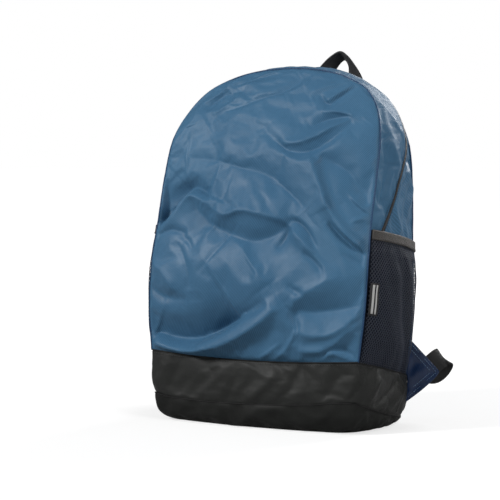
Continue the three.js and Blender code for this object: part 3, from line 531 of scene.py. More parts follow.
def hard_material(name, light, dark, roughness, metallic=0.0):
    """Moulded plastic or painted metal with fine grain and rubbed spots."""
    n = Nodes(name)
    place = n.node("ShaderNodeTexCoord").outputs["Object"]
    grain = n.noise(place, 1800.0, 2.0)
    rubbed = n.noise(place, 90.0, 3.0)
    color = n.mix(n.between(rubbed, 0.45, 0.7), dark, light)
    rough = n.between(rubbed, 0.4, 0.7, roughness, roughness + 0.12)
    return n.finish(color, rough, n.bump(grain, 0.15, 0.0001), 0.5, metallic=metallic)


FLOOR_GLOW = 1.0
FLOOR_LIFT = 0.66


def floor_material():
    """Pale floor that glows evenly far from the object, as a lit studio sweep does."""
    n = Nodes("studio_floor")
    place = n.node("ShaderNodeTexCoord").outputs["Object"]
    color = n.mix(n.noise(place, 3.0), rgb(168, 168, 168), rgb(174, 174, 174))
    n.finish(color, 0.75, specular=0.15)
    away = n.node("ShaderNodeVectorMath", {0: place}, operation="LENGTH").outputs["Value"]
    seen = n.node("ShaderNodeLightPath").outputs["Is Camera Ray"]
    glow = n.between(away, 0.6, 2.0, FLOOR_LIFT, FLOOR_GLOW)
    n.shader.inputs["Emission Color"].default_value = (1.0, 1.0, 1.0, 1.0)
    n.set(n.shader.inputs["Emission Strength"], n.math("MULTIPLY", glow, seen))
    return n.material


def material_set(maker, **rows):
    """Materials by name, each from two screen colours, light and dark, and the maker's other values."""
    return {name: maker(name, rgb(*light), rgb(*dark), *rest) for name, (light, dark, *rest) in rows.items()}


MATERIALS = {
    **material_set(
        cloth_material,
        blue_cloth=((61, 99, 128), (51, 88, 117), 0.48, 0.2, 0.03),
        deep_blue_cloth=((15, 46, 84), (7, 26, 56), 0.22, 0.55, 0.0),
        # navy_cloth: dark navy for the side panels behind the nets, painted shade on what is the blue cloth
        navy_cloth=((14, 20, 34), (8, 12, 22), 0.6, 0.1, 0.0),
        black_cloth=((37, 38, 37), (27, 28, 27), 0.5, 0.22, 0.03, 0.0009),
        # base_cloth: a darker copy of black_cloth for the base panel, painted shade on its underside
        base_cloth=((28, 29, 28), (21, 22, 21), 0.55, 0.16, 0.02, 0.0009),
        # seam_cloth: a darker copy of blue_cloth for the seam welts, painted shade along the seams
        seam_cloth=((30, 64, 98), (22, 50, 82), 0.5, 0.3, 0.1),
        label_cloth=((30, 30, 32), (20, 20, 22), 0.5, 0.4, 0.1, 0.0009),
    ),
    **material_set(
        webbing_material,
        binding=((78, 75, 72), (62, 59, 57), 0.0012, 0.1),
        zip_tape=((80, 75, 73), (62, 58, 57), 0.0011, 0.1),
        webbing=((50, 50, 51), (34, 34, 35)),
    ),
    **material_set(
        thread_material,
        net=((60, 68, 84), (30, 34, 46), 0.36, 0.0),
        blue_thread=((72, 104, 138), (44, 72, 104)),
        pale_blue_thread=((120, 150, 180), (84, 116, 150)),
        dark_thread=((60, 60, 62), (36, 36, 38)),
        # groove_thread: near-black for the base band's seam welts, painted shade in the grooves along them
        groove_thread=((15, 15, 16), (9, 9, 10), 0.8, 0.0),
        light_thread=((205, 205, 203), (165, 165, 164)),
    ),
    **material_set(
        hard_material,
        zip_coil=((34, 32, 32), (20, 19, 19), 0.42),
        black_plastic=((44, 44, 46), (30, 30, 31), 0.38),
        slider_metal=((58, 58, 60), (36, 36, 37), 0.3, 0.6),
    ),
}


def dress(obj, material, *nodes, slot=None):
    """Gives a piece its material and its body, and hides the CAD nodes that it stands for."""
    obj.data.materials.clear()
    obj.data.materials.append(MATERIALS[material])
    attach(obj, "root")
    if nodes:
        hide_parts(*nodes)
    return obj


def lay_weave(obj, coordinates):
    """Writes the "cloth" UV map from one pair of metres for each vertex."""
    layer = obj.data.uv_layers.new(name="cloth")
    corners = np.empty(len(obj.data.loops), int)
    obj.data.loops.foreach_get("vertex_index", corners)
    layer.data.foreach_set("uv", np.asarray(coordinates)[corners].ravel())
    return obj


def grid_lengths(grid):
    """Metres along a grid's columns and rows, measured on its middle lines, for the weave."""
    rows, columns = grid.shape[:2]
    middle_row, middle_column = grid[rows // 2], grid[:, columns // 2]
    u = np.concatenate([[0], np.cumsum(np.linalg.norm(np.diff(middle_row, axis=0), axis=1))]) * MM
    v = np.concatenate([[0], np.cumsum(np.linalg.norm(np.diff(middle_column, axis=0), axis=1))]) * MM
    return np.stack(np.broadcast_arrays(u[None, :], v[:, None]), -1).reshape(-1, 2)


def apply_modifiers(obj):
    shown = obj.evaluated_get(bpy.context.evaluated_depsgraph_get())
    mesh = bpy.data.meshes.new_from_object(shown)
    old = obj.data
    obj.modifiers.clear()
    obj.data = mesh
    bpy.data.meshes.remove(old)
    return obj


def subdivide(obj, levels=1):
    modifier = obj.modifiers.new("smooth", "SUBSURF")
    modifier.levels = modifier.render_levels = levels
    modifier.boundary_smooth = "PRESERVE_CORNERS"
    return apply_modifiers(obj)


# Body cloth before it is simulated: each panel is a grid of points
FRONT_COLUMNS, FRONT_ROWS = 121, 161


def fold_lift(x, z, folds, scale_x, scale_z):
    """How far the folds lift the cloth at each place."""
    lift = np.zeros_like(x)
    here = np.stack([x, z], -1)[..., None, :]
    for line, wide_left, wide_right, deep in folds:
        scaled = [(px * scale_x, pz * scale_z, 0.0) for px, pz in line]
        path = curve(scaled, np.linspace(0, 1, 25))[:, :2]
        start, way = path[:-1], np.diff(path, axis=0)
        along = np.clip(np.sum((here - start) * way, -1) / np.sum(way**2, -1), 0, 1)
        gap = here - (start + way * along[..., None])
        distance = np.linalg.norm(gap, axis=-1)
        nearest = distance.argmin(-1)[..., None]
        away = np.take_along_axis(distance, nearest, -1)[..., 0]
        turn = np.take_along_axis(way[:, 0] * gap[..., 1] - way[:, 1] * gap[..., 0], nearest, -1)[..., 0]
        place = (nearest[..., 0] + np.take_along_axis(along, nearest, -1)[..., 0]) / len(start)
        taper = 0.25 + 0.75 * np.sqrt(np.clip(hump(place), 0, 1))
        wide = np.where(turn > 0, wide_left, wide_right)
        lift += deep * taper * np.exp(-((away / wide) ** 1.35))
    return lift


def front_panel_grid():
    v = np.linspace(0, 1, FRONT_ROWS)
    u = np.linspace(0, 1, FRONT_COLUMNS)
    up = np.interp(v, [0, 5 / 13, 1], [0, POCKET_ROW, SHOULDER_ROW]) / ROW_COUNT
    over = (SHOULDER_ROW + u * (ROW_COUNT - 2 * SHOULDER_ROW)) / ROW_COUNT
    grid = spanned(band_top_front(u), front_seam(over), front_seam(up), front_seam(1 - up))
    uu, ww = np.meshgrid(u, v)
    edge = np.minimum(np.minimum(uu, 1 - uu) * BODY_WIDTH, np.minimum(ww, 1 - ww) * BODY_HEIGHT)
    lift = FRONT_BULGE * swell(uu, ww)
    x, y = picture_place(grid - np.array([0, 1.0, 0]) * lift[..., None])
    folds = fold_lift(x * MM_PER_PIXEL, y * MM_PER_PIXEL, FRONT_FOLDS, MM_PER_PIXEL, -MM_PER_PIXEL)
    lift += folds * smoothstep(edge, 0, 9)
    lift += 0.9 * wobble(grid, 46.0, 1) * smoothstep(edge, 0, 25)
    lift += 0.25 * wobble(grid, 15.0, 2) * smoothstep(edge, 0, 8)
    grid = grid + np.array([0, -1.0, 0]) * lift[..., None]
    return grid


def strip_grid(t_from, t_to, share_from, share_to, rows, columns, seed, rough=1.0):
    t = np.linspace(t_from, t_to, rows)[:, None]
    low, high = share_from(t), share_to(t)
    s = np.linspace(0, 1, columns)[None, :]
    share = low + (high - low) * s
    grid = strip_point(t, share)
    width = np.linalg.norm(grid[:, -1] - grid[:, 0], axis=-1)[:, None]
    middle = grid[:, columns // 2]
    length = np.cumsum(np.linalg.norm(np.diff(middle, axis=0, prepend=middle[:1]), axis=-1))
    flow = np.stack(np.broadcast_arrays(length[:, None] / 95.0, s * width / 17.0, 0 * s), -1)
    fade = np.sqrt(np.clip(hump(s), 0, 1)) * np.minimum(width / 30.0, 1)
    lift = (1.6 * wobble(flow, 1.0, seed) + 0.35 * wobble(grid, 14.0, seed + 1)) * rough
    x, y = picture_place(grid)
    folds = fold_lift(x * MM_PER_PIXEL, y * MM_PER_PIXEL, SIDE_FOLDS, MM_PER_PIXEL, -MM_PER_PIXEL)
    facing = strip_out(t) @ camera_axes()[2]
    lift = (lift + folds * smoothstep(facing, 0.0, 0.15)) * fade
    return grid + strip_out(t) * lift[..., None]


def zip_half(t):
    return ZIP_WIDTH / 2 / np.linalg.norm(front_seam(t) - rear_seam(t), axis=-1)


def low_ring(count):
    """The low seam as one ring with rounded corners: left, front, right and rear sides, count points each."""
    return rounded_ring(low_edge, count, 5.0)


def rounded_ring(edge, count, radius):
    share = np.linspace(0, 1, count, endpoint=False)
    ring = np.concatenate([edge(side, share) for side in ("left", "front", "right", "rear")])
    step = np.mean(np.linalg.norm(np.diff(ring, axis=0), axis=1))
    reach = int(3 * radius / step)
    weights = np.exp(-0.5 * (np.arange(-reach, reach + 1) * step / radius) ** 2)
    weights /= weights.sum()
    return sum(w * np.roll(ring, k - reach, axis=0) for k, w in enumerate(weights))


SIDE_COUNT = 48
BAND_ROWS = 22


def band_top_path(count):
    share = np.linspace(0, 1, count, endpoint=False)
    left = strip_point(np.zeros(count), 1 - share)
    front = band_top_front(share)
    right = strip_point(np.ones(count + 1), np.linspace(0, 1, count + 1))
    return np.concatenate([left, front, right])


# Creases of the black base band: places along its path from 0 at the left rear to 3 at the right rear,
# and across it from 0 at its top to 1 at its foot, with the widths and depths of the front's folds
BAND_FOLDS = [
    ([(1.16, 1.0), (1.27, 0.45), (1.38, 0.1)], 5.0, 4.0, 3.7),
    ([(1.10, 0.75), (1.15, 0.4), (1.18, 0.1)], 4.0, 4.0, -2.7),
    ([(1.44, 0.9), (1.52, 0.5), (1.56, 0.15)], 5.0, 4.0, -3.1),
    ([(1.66, 0.1), (1.74, 0.35), (1.80, 0.8)], 4.0, 5.0, 3.4),
    ([(1.50, 0.08), (1.58, 0.3), (1.66, 0.4)], 4.0, 5.0, 2.7),
    ([(1.84, 0.9), (1.90, 0.5), (1.93, 0.15)], 4.0, 4.0, -3.1),
    ([(1.30, 0.85), (1.42, 0.7), (1.55, 0.8)], 5.0, 5.0, 2.5),
    ([(1.72, 0.75), (1.86, 0.62), (1.98, 0.75)], 5.0, 5.0, 2.7),
    ([(2.12, 0.95), (2.24, 0.5), (2.30, 0.15)], 5.0, 4.0, 4.4),
    ([(2.05, 0.6), (2.10, 0.35), (2.16, 0.1)], 4.0, 4.0, -2.7),
    ([(2.45, 0.9), (2.55, 0.5), (2.60, 0.2)], 4.0, 5.0, -3.1),
    ([(2.70, 0.9), (2.78, 0.45), (2.88, 0.15)], 5.0, 4.0, 3.1),
    ([(0.70, 0.9), (0.80, 0.5), (0.86, 0.15)], 5.0, 4.0, 3.7),
    ([(0.20, 0.85), (0.34, 0.5), (0.44, 0.2)], 5.0, 4.0, -3.4),
    ([(1.02, 0.85), (1.06, 0.45), (1.10, 0.2)], 4.0, 4.0, 2.7),
]


def base_band_grid():
    top = band_top_path(SIDE_COUNT)
    low = low_ring(SIDE_COUNT)[: 3 * SIDE_COUNT + 1]
    share = np.linspace(0, 1, BAND_ROWS)[:, None, None]
    grid = top[None] * (1 - share) + low[None] * share
    outwards = unit(top * np.array([1, 1, 0]))
    path = np.linspace(0, 3, top.shape[0])[None, :]
    across = np.linspace(0, 1, BAND_ROWS)[:, None]
    width = BODY_WIDTH * 0.85
    height = 58.0
    stretched = np.where(np.abs(path - 1.5) > 0.5, 0.5, 1.0)
    place = np.broadcast_to(path * width, grid.shape[:2]).copy()
    level = np.broadcast_to(across * height, grid.shape[:2]).copy()
    lift = fold_lift(place, level, BAND_FOLDS, width, height)
    lift = lift * smoothstep(hump(across), 0, 0.5) * np.maximum(stretched, 0.8)
    rounded = rounded_corners(grid)
    lift = 0.4 * lift + low_folds(rounded, outwards) * smoothstep(hump(across), 0, 0.6)
    lift = lift + 0.7 * wobble(grid, 22.0, 5) * hump(across) + BAND_BULGE * hump(across) ** 0.7
    return rounded + outwards[None] * lift[..., None]


def low_folds(grid, outwards):
    x, y = picture_place(grid)
    folds = fold_lift(x * MM_PER_PIXEL, y * MM_PER_PIXEL, LOW_FOLDS, MM_PER_PIXEL, -MM_PER_PIXEL)
    return folds * smoothstep(outwards @ camera_axes()[2], 0.0, 0.2)[None]


def rounded_corners(grid):
    """Rounds the band's upright corners more towards its foot, and leaves its top edge as it is."""
    radius = 4.0
    soft = grid.copy()
    for _ in range(int(radius**2)):
        soft[:, 1:-1] = 0.25 * soft[:, :-2] + 0.5 * soft[:, 1:-1] + 0.25 * soft[:, 2:]
    share = np.linspace(0, 1, grid.shape[0])[:, None, None] ** 0.6
    return grid * (1 - share) + soft * share


def back_panel_grid(band):
    columns = SIDE_COUNT + 1
    ring = low_ring(SIDE_COUNT)
    bottom = np.concatenate([ring[3 * SIDE_COUNT:], ring[:1]])[::-1]
    rows = 70
    up = np.linspace(0, SHOULDER_ROW / ROW_COUNT, rows)
    left = np.concatenate([band[::-1, 0][:-1], rear_seam(up)])
    right = np.concatenate([band[::-1, -1][:-1], rear_seam(1 - up)])
    over = np.linspace(SHOULDER_ROW, ROW_COUNT - SHOULDER_ROW, columns) / ROW_COUNT
    grid = spanned(bottom, rear_seam(over), left, right)
    u, w = np.meshgrid(np.linspace(0, 1, columns), np.linspace(0, 1, grid.shape[0]))
    edge = np.minimum(np.minimum(u, 1 - u) * BODY_WIDTH, np.minimum(w, 1 - w) * BODY_HEIGHT)
    lift = REAR_BULGE * swell(u, w) + 1.6 * wobble(grid, 42.0, 7) * smoothstep(edge, 0, 30)
    lift += 0.5 * wobble(grid, 15.0, 8) * smoothstep(edge, 0, 10)
    return grid + np.array([0, 1.0, 0]) * lift[..., None]


def base_panel_grid():
    """Rings from the low seam under to the flat face and in to its middle."""
    outer = low_ring(SIDE_COUNT)
    flat = rounded_ring(foot_edge, SIDE_COUNT, 9.0)
    rings = []
    for angle in np.linspace(0, np.pi / 2, 11):
        ring = flat * (1 - np.cos(angle)) + outer * np.cos(angle)
        ring[:, 2] = outer[:, 2] * (1 - np.sin(angle))
        rings.append(ring)
    for share in np.linspace(1, 0.02, 9)[1:]:
        ring = flat * share
        ring[:, 2] = 0.0
        rings.append(ring)
    grid = np.stack(rings)
    pleat = wobble(grid * np.array([1, 1, 2.5]), 20.0, 9)
    rim = np.linspace(0, 1, 11)
    lift = np.zeros(grid.shape[:2])
    outwards = unit(outer * np.array([1, 1, 0]))
    creased = 1.1 * pleat[:11] + 1.6 + low_folds(grid[:11], outwards)
    lift[:11] = creased * (np.clip(hump(rim), 0, 1) ** 0.6)[:, None]
    return grid + outwards[None] * lift[..., None]


def side_panel_grid(side):
    rows, columns = 40, 26
    t = [side_t(row, side) for row in (0, POCKET_ROW)]
    grid = strip_grid(t[0], t[1], front_edge, rear_edge, rows, columns, 11 + side, 0.4)
    sunk = BEHIND_NET_SINK * np.sqrt(np.clip(hump(np.linspace(0, 1, columns)), 0, 1))[None, :]
    return grid - strip_out(np.linspace(t[0], t[1], rows)[:, None]) * sunk[..., None]


def zip_front(t):
    return zip_share(t) - zip_half(t)


def zip_rear(t):
    return zip_share(t) + zip_half(t)


def front_edge(t):
    return np.zeros_like(t)


def rear_edge(t):
    return np.ones_like(t)


STRIP_ROWS = 260
MOUTH, FAR_MOUTH = side_t(POCKET_ROW, -1), side_t(POCKET_ROW, 1)


def body_grids():
    band = base_band_grid()
    return {
        "front_panel": front_panel_grid(),
        "front_gusset": strip_grid(MOUTH, FAR_MOUTH, front_edge, zip_front, STRIP_ROWS, 23, 21),
        "rear_gusset": strip_grid(MOUTH, FAR_MOUTH, zip_rear, rear_edge, STRIP_ROWS, 23, 31),
        "side_panel_left": side_panel_grid(-1),
        "side_panel_right": side_panel_grid(1),
        "back_panel": back_panel_grid(band),
        "base_band": band,
        "base_panel": base_panel_grid(),
    }


# The simulated cloth: every panel is a little larger than the frame that its seams hold it in,
# so it puckers along them
CLOTH_GROWTH = 0.015
CLOTH_FRAMES = 16
FARTHEST_MOVE = 5.0
BEHIND_NET_MOVE = 1.2
BEHIND_NET_SINK = 1.6
CLOSED = {"base_panel"}


def held_places(name, grid):
    held = np.zeros(grid.shape[:2], bool)
    held[0] = held[-1] = True
    if name not in CLOSED:
        held[:, 0] = held[:, -1] = True
    if name == "base_panel":
        held[9:] = True
    return held


def simulated(grids):
    """The same grids after cloth simulation, every point at most FARTHEST_MOVE from where it was."""
    starts, points, faces, pins = {}, [], [], []
    total = 0
    for name, grid in grids.items():
        starts[name] = total
        points.append(grid.reshape(-1, 3))
        faces.append(grid_faces(*grid.shape[:2], closed=name in CLOSED, start=total))
        pins.append(held_places(name, grid).ravel())
        total += points[-1].shape[0]
    start = np.concatenate(points)
    obj = mesh_object("simulated_body", start, np.concatenate(faces))
    pinned = obj.vertex_groups.new(name="seams")
    pinned.add([int(i) for i in np.flatnonzero(np.concatenate(pins))], 1.0, "REPLACE")
    cloth = obj.modifiers.new("cloth", "CLOTH")
    cloth.settings.vertex_group_mass = "seams"
    cloth.settings.quality = 4
    cloth.settings.mass = 0.06
    cloth.settings.tension_stiffness = 12.0
    cloth.settings.compression_stiffness = 12.0
    cloth.settings.shear_stiffness = 4.0
    cloth.settings.bending_stiffness = 0.3
    cloth.settings.air_damping = 2.0
    cloth.settings.shrink_min = -CLOTH_GROWTH
    cloth.settings.effector_weights.gravity = 0.0
    cloth.collision_settings.use_collision = False
    cloth.point_cache.frame_start = 1
    cloth.point_cache.frame_end = CLOTH_FRAMES
    scene = bpy.context.scene
    for step in range(1, CLOTH_FRAMES + 1):
        scene.frame_set(step)
    shown = obj.evaluated_get(bpy.context.evaluated_depsgraph_get())
    ends = np.empty(len(shown.data.vertices) * 3)
    shown.data.vertices.foreach_get("co", ends)
    moved = ends.reshape(-1, 3) / MM - start
    length = np.linalg.norm(moved, axis=1, keepdims=True)
    farthest = np.concatenate([
        np.full(grid[..., 0].size, BEHIND_NET_MOVE if name.startswith("side_panel") else FARTHEST_MOVE)
        for name, grid in grids.items()
    ])[:, None]
    moved *= np.tanh(length / farthest) * farthest / np.maximum(length, 1e-9)
    scene.frame_set(1)
    bpy.data.objects.remove(obj)
    result = start + moved
    return {
        name: result[starts[name]: starts[name] + grid.shape[0] * grid.shape[1]].reshape(grid.shape)
        for name, grid in grids.items()
    }


def make_body():
    grids = body_grids()
    grids = simulated(grids)
    # The base panel takes a darker copy of the black cloth, painted shade.
    # The side panels behind the nets take a dark navy, painted shade.
    looks = {"base_band": "black_cloth", "base_panel": "base_cloth", "side_panel_left": "navy_cloth",
             "side_panel_right": "navy_cloth"}
    for name, grid in grids.items():
        piece = grid_object(f"{name}_cloth", grid, closed=name in CLOSED)
        lay_weave(piece, grid_lengths(grid))
        subdivide(piece)
        look = looks.get(name, "blue_cloth")
        dress(piece, look, name, slot="black_cloth" if name.startswith("base") else "blue_cloth")
    return grids


# Bands, welts, slabs and stitches
def outline_section(width_power, count):
    """A closed section in shares of half the width and thickness: 2 is round, more is squarer."""
    angle = np.linspace(0, 2 * np.pi, count, endpoint=False)
    c, s = np.cos(angle), np.sin(angle)
    power = 2 / width_power
    return np.stack([np.sign(c) * np.abs(c) ** power, np.sign(s) * np.abs(s) ** power], -1)


ROUND = outline_section(2, 8)
SOFT_BOX = outline_section(5, 20)
WEBBING_SECTION = np.array([
    (-1, 0), (-0.985, -0.75), (-0.94, -1), (-0.5, -1), (0, -1), (0.5, -1), (0.94, -1), (0.985, -0.75),
    (1, 0), (0.985, 0.75), (0.94, 1), (0.5, 1), (0, 1), (-0.5, 1), (-0.94, 1), (-0.985, 0.75),
])


def lengths_along(path):
    return np.concatenate([[0], np.cumsum(np.linalg.norm(np.diff(path, axis=0), axis=1))])


def side_and_normal(path, across):
    along = unit(np.gradient(path, axis=0))
    across = np.broadcast_to(across, path.shape)
    side = unit(across - np.sum(across * along, -1, keepdims=True) * along)
    return side, np.cross(side, along)


def closed_up(obj):
    """Turns the faces of a closed piece outwards."""
    bm = bmesh.new()
    bm.from_mesh(obj.data)
    bmesh.ops.remove_doubles(bm, verts=bm.verts, dist=0.000002)
    bmesh.ops.recalc_face_normals(bm, faces=bm.faces)
    bm.to_mesh(obj.data)
    bm.free()
    return obj


def swept_grid(path, across, section, width, thickness):
    side, normal = side_and_normal(path, across)
    section = np.asarray(section, float)
    width = np.broadcast_to(width, len(path))[:, None, None]
    thickness = np.broadcast_to(thickness, len(path))[:, None, None]
    out = side[:, None] * section[None, :, :1] * width + normal[:, None] * section[None, :, 1:] * thickness
    return path[:, None] + out / 2


def ring_faces(rows, columns, start=0):
    faces = [tuple(f) for f in grid_faces(rows, columns, closed=True, start=start)]
    faces.append(tuple(start + np.arange(columns)[::-1]))
    faces.append(tuple(start + (rows - 1) * columns + np.arange(columns)))
    return faces


def tubes(name, grids):
    """One piece of several closed bands, each a grid of rings."""
    points, faces, weave = [], [], []
    start = 0
    for grid in grids:
        rows, columns = grid.shape[:2]
        points.append(grid.reshape(-1, 3))
        faces += ring_faces(rows, columns, start)
        middle = grid.mean(axis=1)
        around = np.linalg.norm(grid[rows // 2] - grid[rows // 2][:1], axis=-1)
        along = lengths_along(middle)
        weave.append(np.stack(np.broadcast_arrays(around[None, :], along[:, None]), -1).reshape(-1, 2) * MM)
        start += rows * columns
    obj = mesh_object(name, np.concatenate(points), faces)
    lay_weave(obj, np.concatenate(weave))
    return closed_up(obj)


def band(name, path, across, section, width, thickness):
    return tubes(name, [swept_grid(np.asarray(path), across, section, width, thickness)])


def slab(name, outer, inner):
    """A closed piece between two grids of the same shape."""
    rows, columns = outer.shape[:2]
    count = rows * columns
    border = np.concatenate([
        np.arange(columns),
        np.arange(1, rows) * columns + columns - 1,
        (rows - 1) * columns + np.arange(columns - 1)[::-1],
        np.arange(1, rows - 1)[::-1] * columns,
    ])
    after = np.roll(border, -1)
    faces = np.concatenate([
        grid_faces(rows, columns),
        grid_faces(rows, columns, start=count, flip=True),
        np.stack([border, border + count, after + count, after], -1),
    ])
    obj = mesh_object(name, np.concatenate([outer.reshape(-1, 3), inner.reshape(-1, 3)]), faces)
    lay_weave(obj, np.concatenate([grid_lengths(outer)] * 2))
    return closed_up(obj)


STITCH_RINGS = np.array([(-0.5, 0.3, -0.5), (-0.32, 0.9, 0.1), (0.32, 0.9, 0.1), (0.5, 0.3, -0.5)])
STITCH_SIDES = 5


def stitches(name, rows, material, pitch=3.0, length=2.3, radius=0.32):
    """Sewn stitches along paths. Each row is a path and the way out of the cloth along it."""
    spots, ways, ups = [], [], []
    for path, normal in rows:
        path = np.asarray(path, float)
        normal = np.broadcast_to(normal, path.shape)
        run = lengths_along(path)
        places = np.arange(pitch / 2, run[-1], pitch)
        at = np.stack([np.interp(places, run, path[:, k]) for k in range(3)], -1)
        ahead = np.stack([np.interp(places + length / 2, run, path[:, k]) for k in range(3)], -1)
        behind = np.stack([np.interp(places - length / 2, run, path[:, k]) for k in range(3)], -1)
        spots.append(at)
        ways.append(unit(ahead - behind))
        ups.append(unit(np.stack([np.interp(places, run, normal[:, k]) for k in range(3)], -1)))
    spots, ways, ups = (np.concatenate(part) for part in (spots, ways, ups))
    sides = unit(np.cross(ways, ups))
    angle = np.linspace(0, 2 * np.pi, STITCH_SIDES, endpoint=False)
    points = []
    for along, wide, lift in STITCH_RINGS:
        middle = spots + ways * along * length + ups * lift * radius
        for a in angle:
            points.append(middle + (sides * np.cos(a) + ups * np.sin(a)) * wide * radius)
    points = np.stack(points, 1)
    each = len(STITCH_RINGS) * STITCH_SIDES
    one = ring_faces(len(STITCH_RINGS), STITCH_SIDES)
    faces = [tuple(i + k * each for i in face) for k in range(len(spots)) for face in one]
    obj = mesh_object(name, points.reshape(-1, 3), faces)
    return dress(closed_up(obj), material)


# Seam welts, which are the folded edges of two panels sewn together
def seam_path(points, count, seed, wave=0.25):
    path = np.asarray(points)
    new, old = np.linspace(0, 1, count), np.linspace(0, 1, len(path))
    path = np.stack([np.interp(new, old, path[:, k]) for k in range(3)], -1)
    return path + wave * wobble(path, 9.0, seed)[:, None] * np.array([0.4, 0.4, 0.4])


def make_seams(body):
    t = np.linspace(0, 1, 500)
    out = strip_out(t)
    grids = []
    front = seam_path(front_seam(t), 500, 41) + out * 0.5
    grids.append(swept_grid(front, out, ROUND, 2.0, 1.7))
    rear = seam_path(rear_seam(t), 500, 42) + out * 0.5
    grids.append(swept_grid(rear, out, ROUND, 2.2, 1.9))
    welt = tubes("body_seams", grids)
    # The welts are coloured darker than the panels' blue cloth, painted shade along the seams.
    dress(welt, "seam_cloth", slot="blue_cloth")
    ring = low_ring(SIDE_COUNT)
    ring = np.concatenate([ring, ring[:2]])
    ring = ring + unit(ring * np.array([1, 1, 0])) * 0.1
    top = band_top_path(SIDE_COUNT)
    top = top + unit(top * np.array([1, 1, 0])) * 0.5
    low = tubes("base_seams", [
        swept_grid(ring, (0, 0, 1), ROUND, 1.3, 1.1),
        swept_grid(top, (0, 0, 1), ROUND, 1.7, 1.5),
    ])
    # Near-black welts at the base band's seams: painted shade in their grooves.
    dress(low, "groove_thread", slot="black_cloth")
    below = body["base_band"][1] * 0.9 + body["base_band"][2] * 0.1
    stitches("base_band_stitches", [(below + unit(below * np.array([1, 1, 0])) * 0.4,
                                     unit(below * np.array([1, 1, 0])))], "dark_thread", 3.2, 2.2, 0.3)


# Side pockets
NET_EDGE = 0.012
NET_PITCH = 4.2
NET_TALL = 1.25
NET_HOLE = 0.76
NET_THREAD = 0.45
NET_CORNERS = 4
ROW_BELOW_MOUTH = front_seam(side_t(POCKET_ROW, 1)) - front_seam(side_t(POCKET_ROW - 1, 1))
BINDING_ROWS = BINDING_HEIGHT / np.linalg.norm(ROW_BELOW_MOUTH)
NET_TOP_ROW = POCKET_ROW - BINDING_ROWS
NET_FOLDS = (3.2, 2.4, 0.6)
# The net's stand-off as a share of POCKET_GAPE, by row: it is baggy below its bound mouth
NET_RISE = np.array([(0, 0), (0.3, 0.5), (0.56, 0.82), (1.03, 0.74), (1.45, 0.86), (1.95, 1.08), (2.4, 0.95),
                     (2.75, 0.66), (3.0, 0.52), (3.3, 0.5)])
# The binding's section: places up the binding as shares, and millimetres out from the net
BINDING_RING = [
    (0.0, 0.5), (-0.01, 1.4), (0.02, 2.2), (0.12, 2.5), (0.35, 2.3), (0.65, 2.4), (0.9, 2.6), (1.0, 2.2),
    (1.03, 1.3), (1.0, 0.4), (0.9, 0.0), (0.5, 0.1), (0.1, 0.0),
]
BINDING_STITCH = 0.13
NET_MARGIN = 0.4


def net_lift(row, share):
    spans = np.searchsorted(NET_RISE[1:-1, 0], row)
    low, high = NET_RISE[spans], NET_RISE[spans + 1]
    rise = low[..., 1] + (high[..., 1] - low[..., 1]) * smoothstep(row, low[..., 0], high[..., 0])
    return NET_CLEARANCE + POCKET_GAPE * rise * np.clip(hump(share), 0, 1) ** 0.55


def net_point(row, share, side, lift=0.0):
    return strip_point(side_t(row, side), share, net_lift(row, share) + lift)


def net_slack(row, share, side):
    """Soft upright folds in the loose net, none at its edges."""
    deep, across, up = NET_FOLDS
    flow = np.stack([share * across * 2.2 + row * 0.9, row * up, 0 * share + 0.4 * side], -1)
    fade = np.clip(hump(share), 0, 1) ** 0.6 * smoothstep(POCKET_ROW - row, 0.2, 0.9)
    return deep * wobble(flow, 1.0, 51 + side) * fade


def make_net(name, side):
    rows_up = np.linspace(0, NET_TOP_ROW, 60)
    middle = net_point(rows_up, np.full(60, 0.5), side)
    height = lengths_along(middle)
    girth = net_point(np.full(60, 1.5), np.linspace(NET_EDGE, 1 - NET_EDGE, 60), side)
    width = lengths_along(girth)[-1]
    step = NET_PITCH / 2 * NET_TALL
    cells = []
    for j in range(int(height[-1] / step) + 2):
        shift = NET_PITCH / 2 * (j % 2)
        for i in range(int(width / NET_PITCH) + 2):
            cells.append((i * NET_PITCH + shift, j * step))
    cells = np.array(cells)
    inside = (cells > NET_MARGIN) & (cells < np.array([width, height[-1]]) - NET_MARGIN)
    cells = cells[inside.all(axis=1)]
    corner = np.array([(1, 0), (0, NET_TALL), (-1, 0), (0, -NET_TALL)]) * NET_PITCH / 2
    outer = cells[:, None] + corner[None]
    outer[..., 0] = np.clip(outer[..., 0], 0, width)
    outer[..., 1] = np.clip(outer[..., 1], 0, height[-1])
    heart = outer.mean(axis=1, keepdims=True)
    hole = heart + (outer - heart) * NET_HOLE
    flat = np.concatenate([outer, hole], axis=1)
    row = np.interp(flat[..., 1], height, rows_up)
    share = NET_EDGE + (1 - 2 * NET_EDGE) * flat[..., 0] / width
    slack = net_slack(row, share, side)
    # Threads stand out where they cross and dip along the holes, so that they look round
    bulge = np.where(np.arange(2 * NET_CORNERS) < NET_CORNERS, 0.12, -0.12)[None, :]
    out = net_point(row, share, side, slack + 0.6 + NET_THREAD / 2 + bulge)
    back = net_point(row, share, side, slack + 0.6 - NET_THREAD / 2 - bulge)
    points = np.concatenate([out, back], axis=1)
    k = np.arange(NET_CORNERS)
    nxt = (k + 1) % NET_CORNERS
    hole_k, back_k, hole_back = (NET_CORNERS * count for count in (1, 2, 3))
    one = np.concatenate([
        np.stack([k, nxt, nxt + hole_k, k + hole_k], -1),
        np.stack([k + back_k, k + hole_back, nxt + hole_back, nxt + back_k], -1),
        np.stack([k + hole_k, nxt + hole_k, nxt + hole_back, k + hole_back], -1),
    ])
    faces = (one[None] + 4 * NET_CORNERS * np.arange(len(cells))[:, None, None]).reshape(-1, 4)
    net = closed_up(mesh_object(f"mesh_pocket_{name}_net", points.reshape(-1, 3), faces))
    dress(net, "net", f"mesh_pocket_{name}", slot="net")


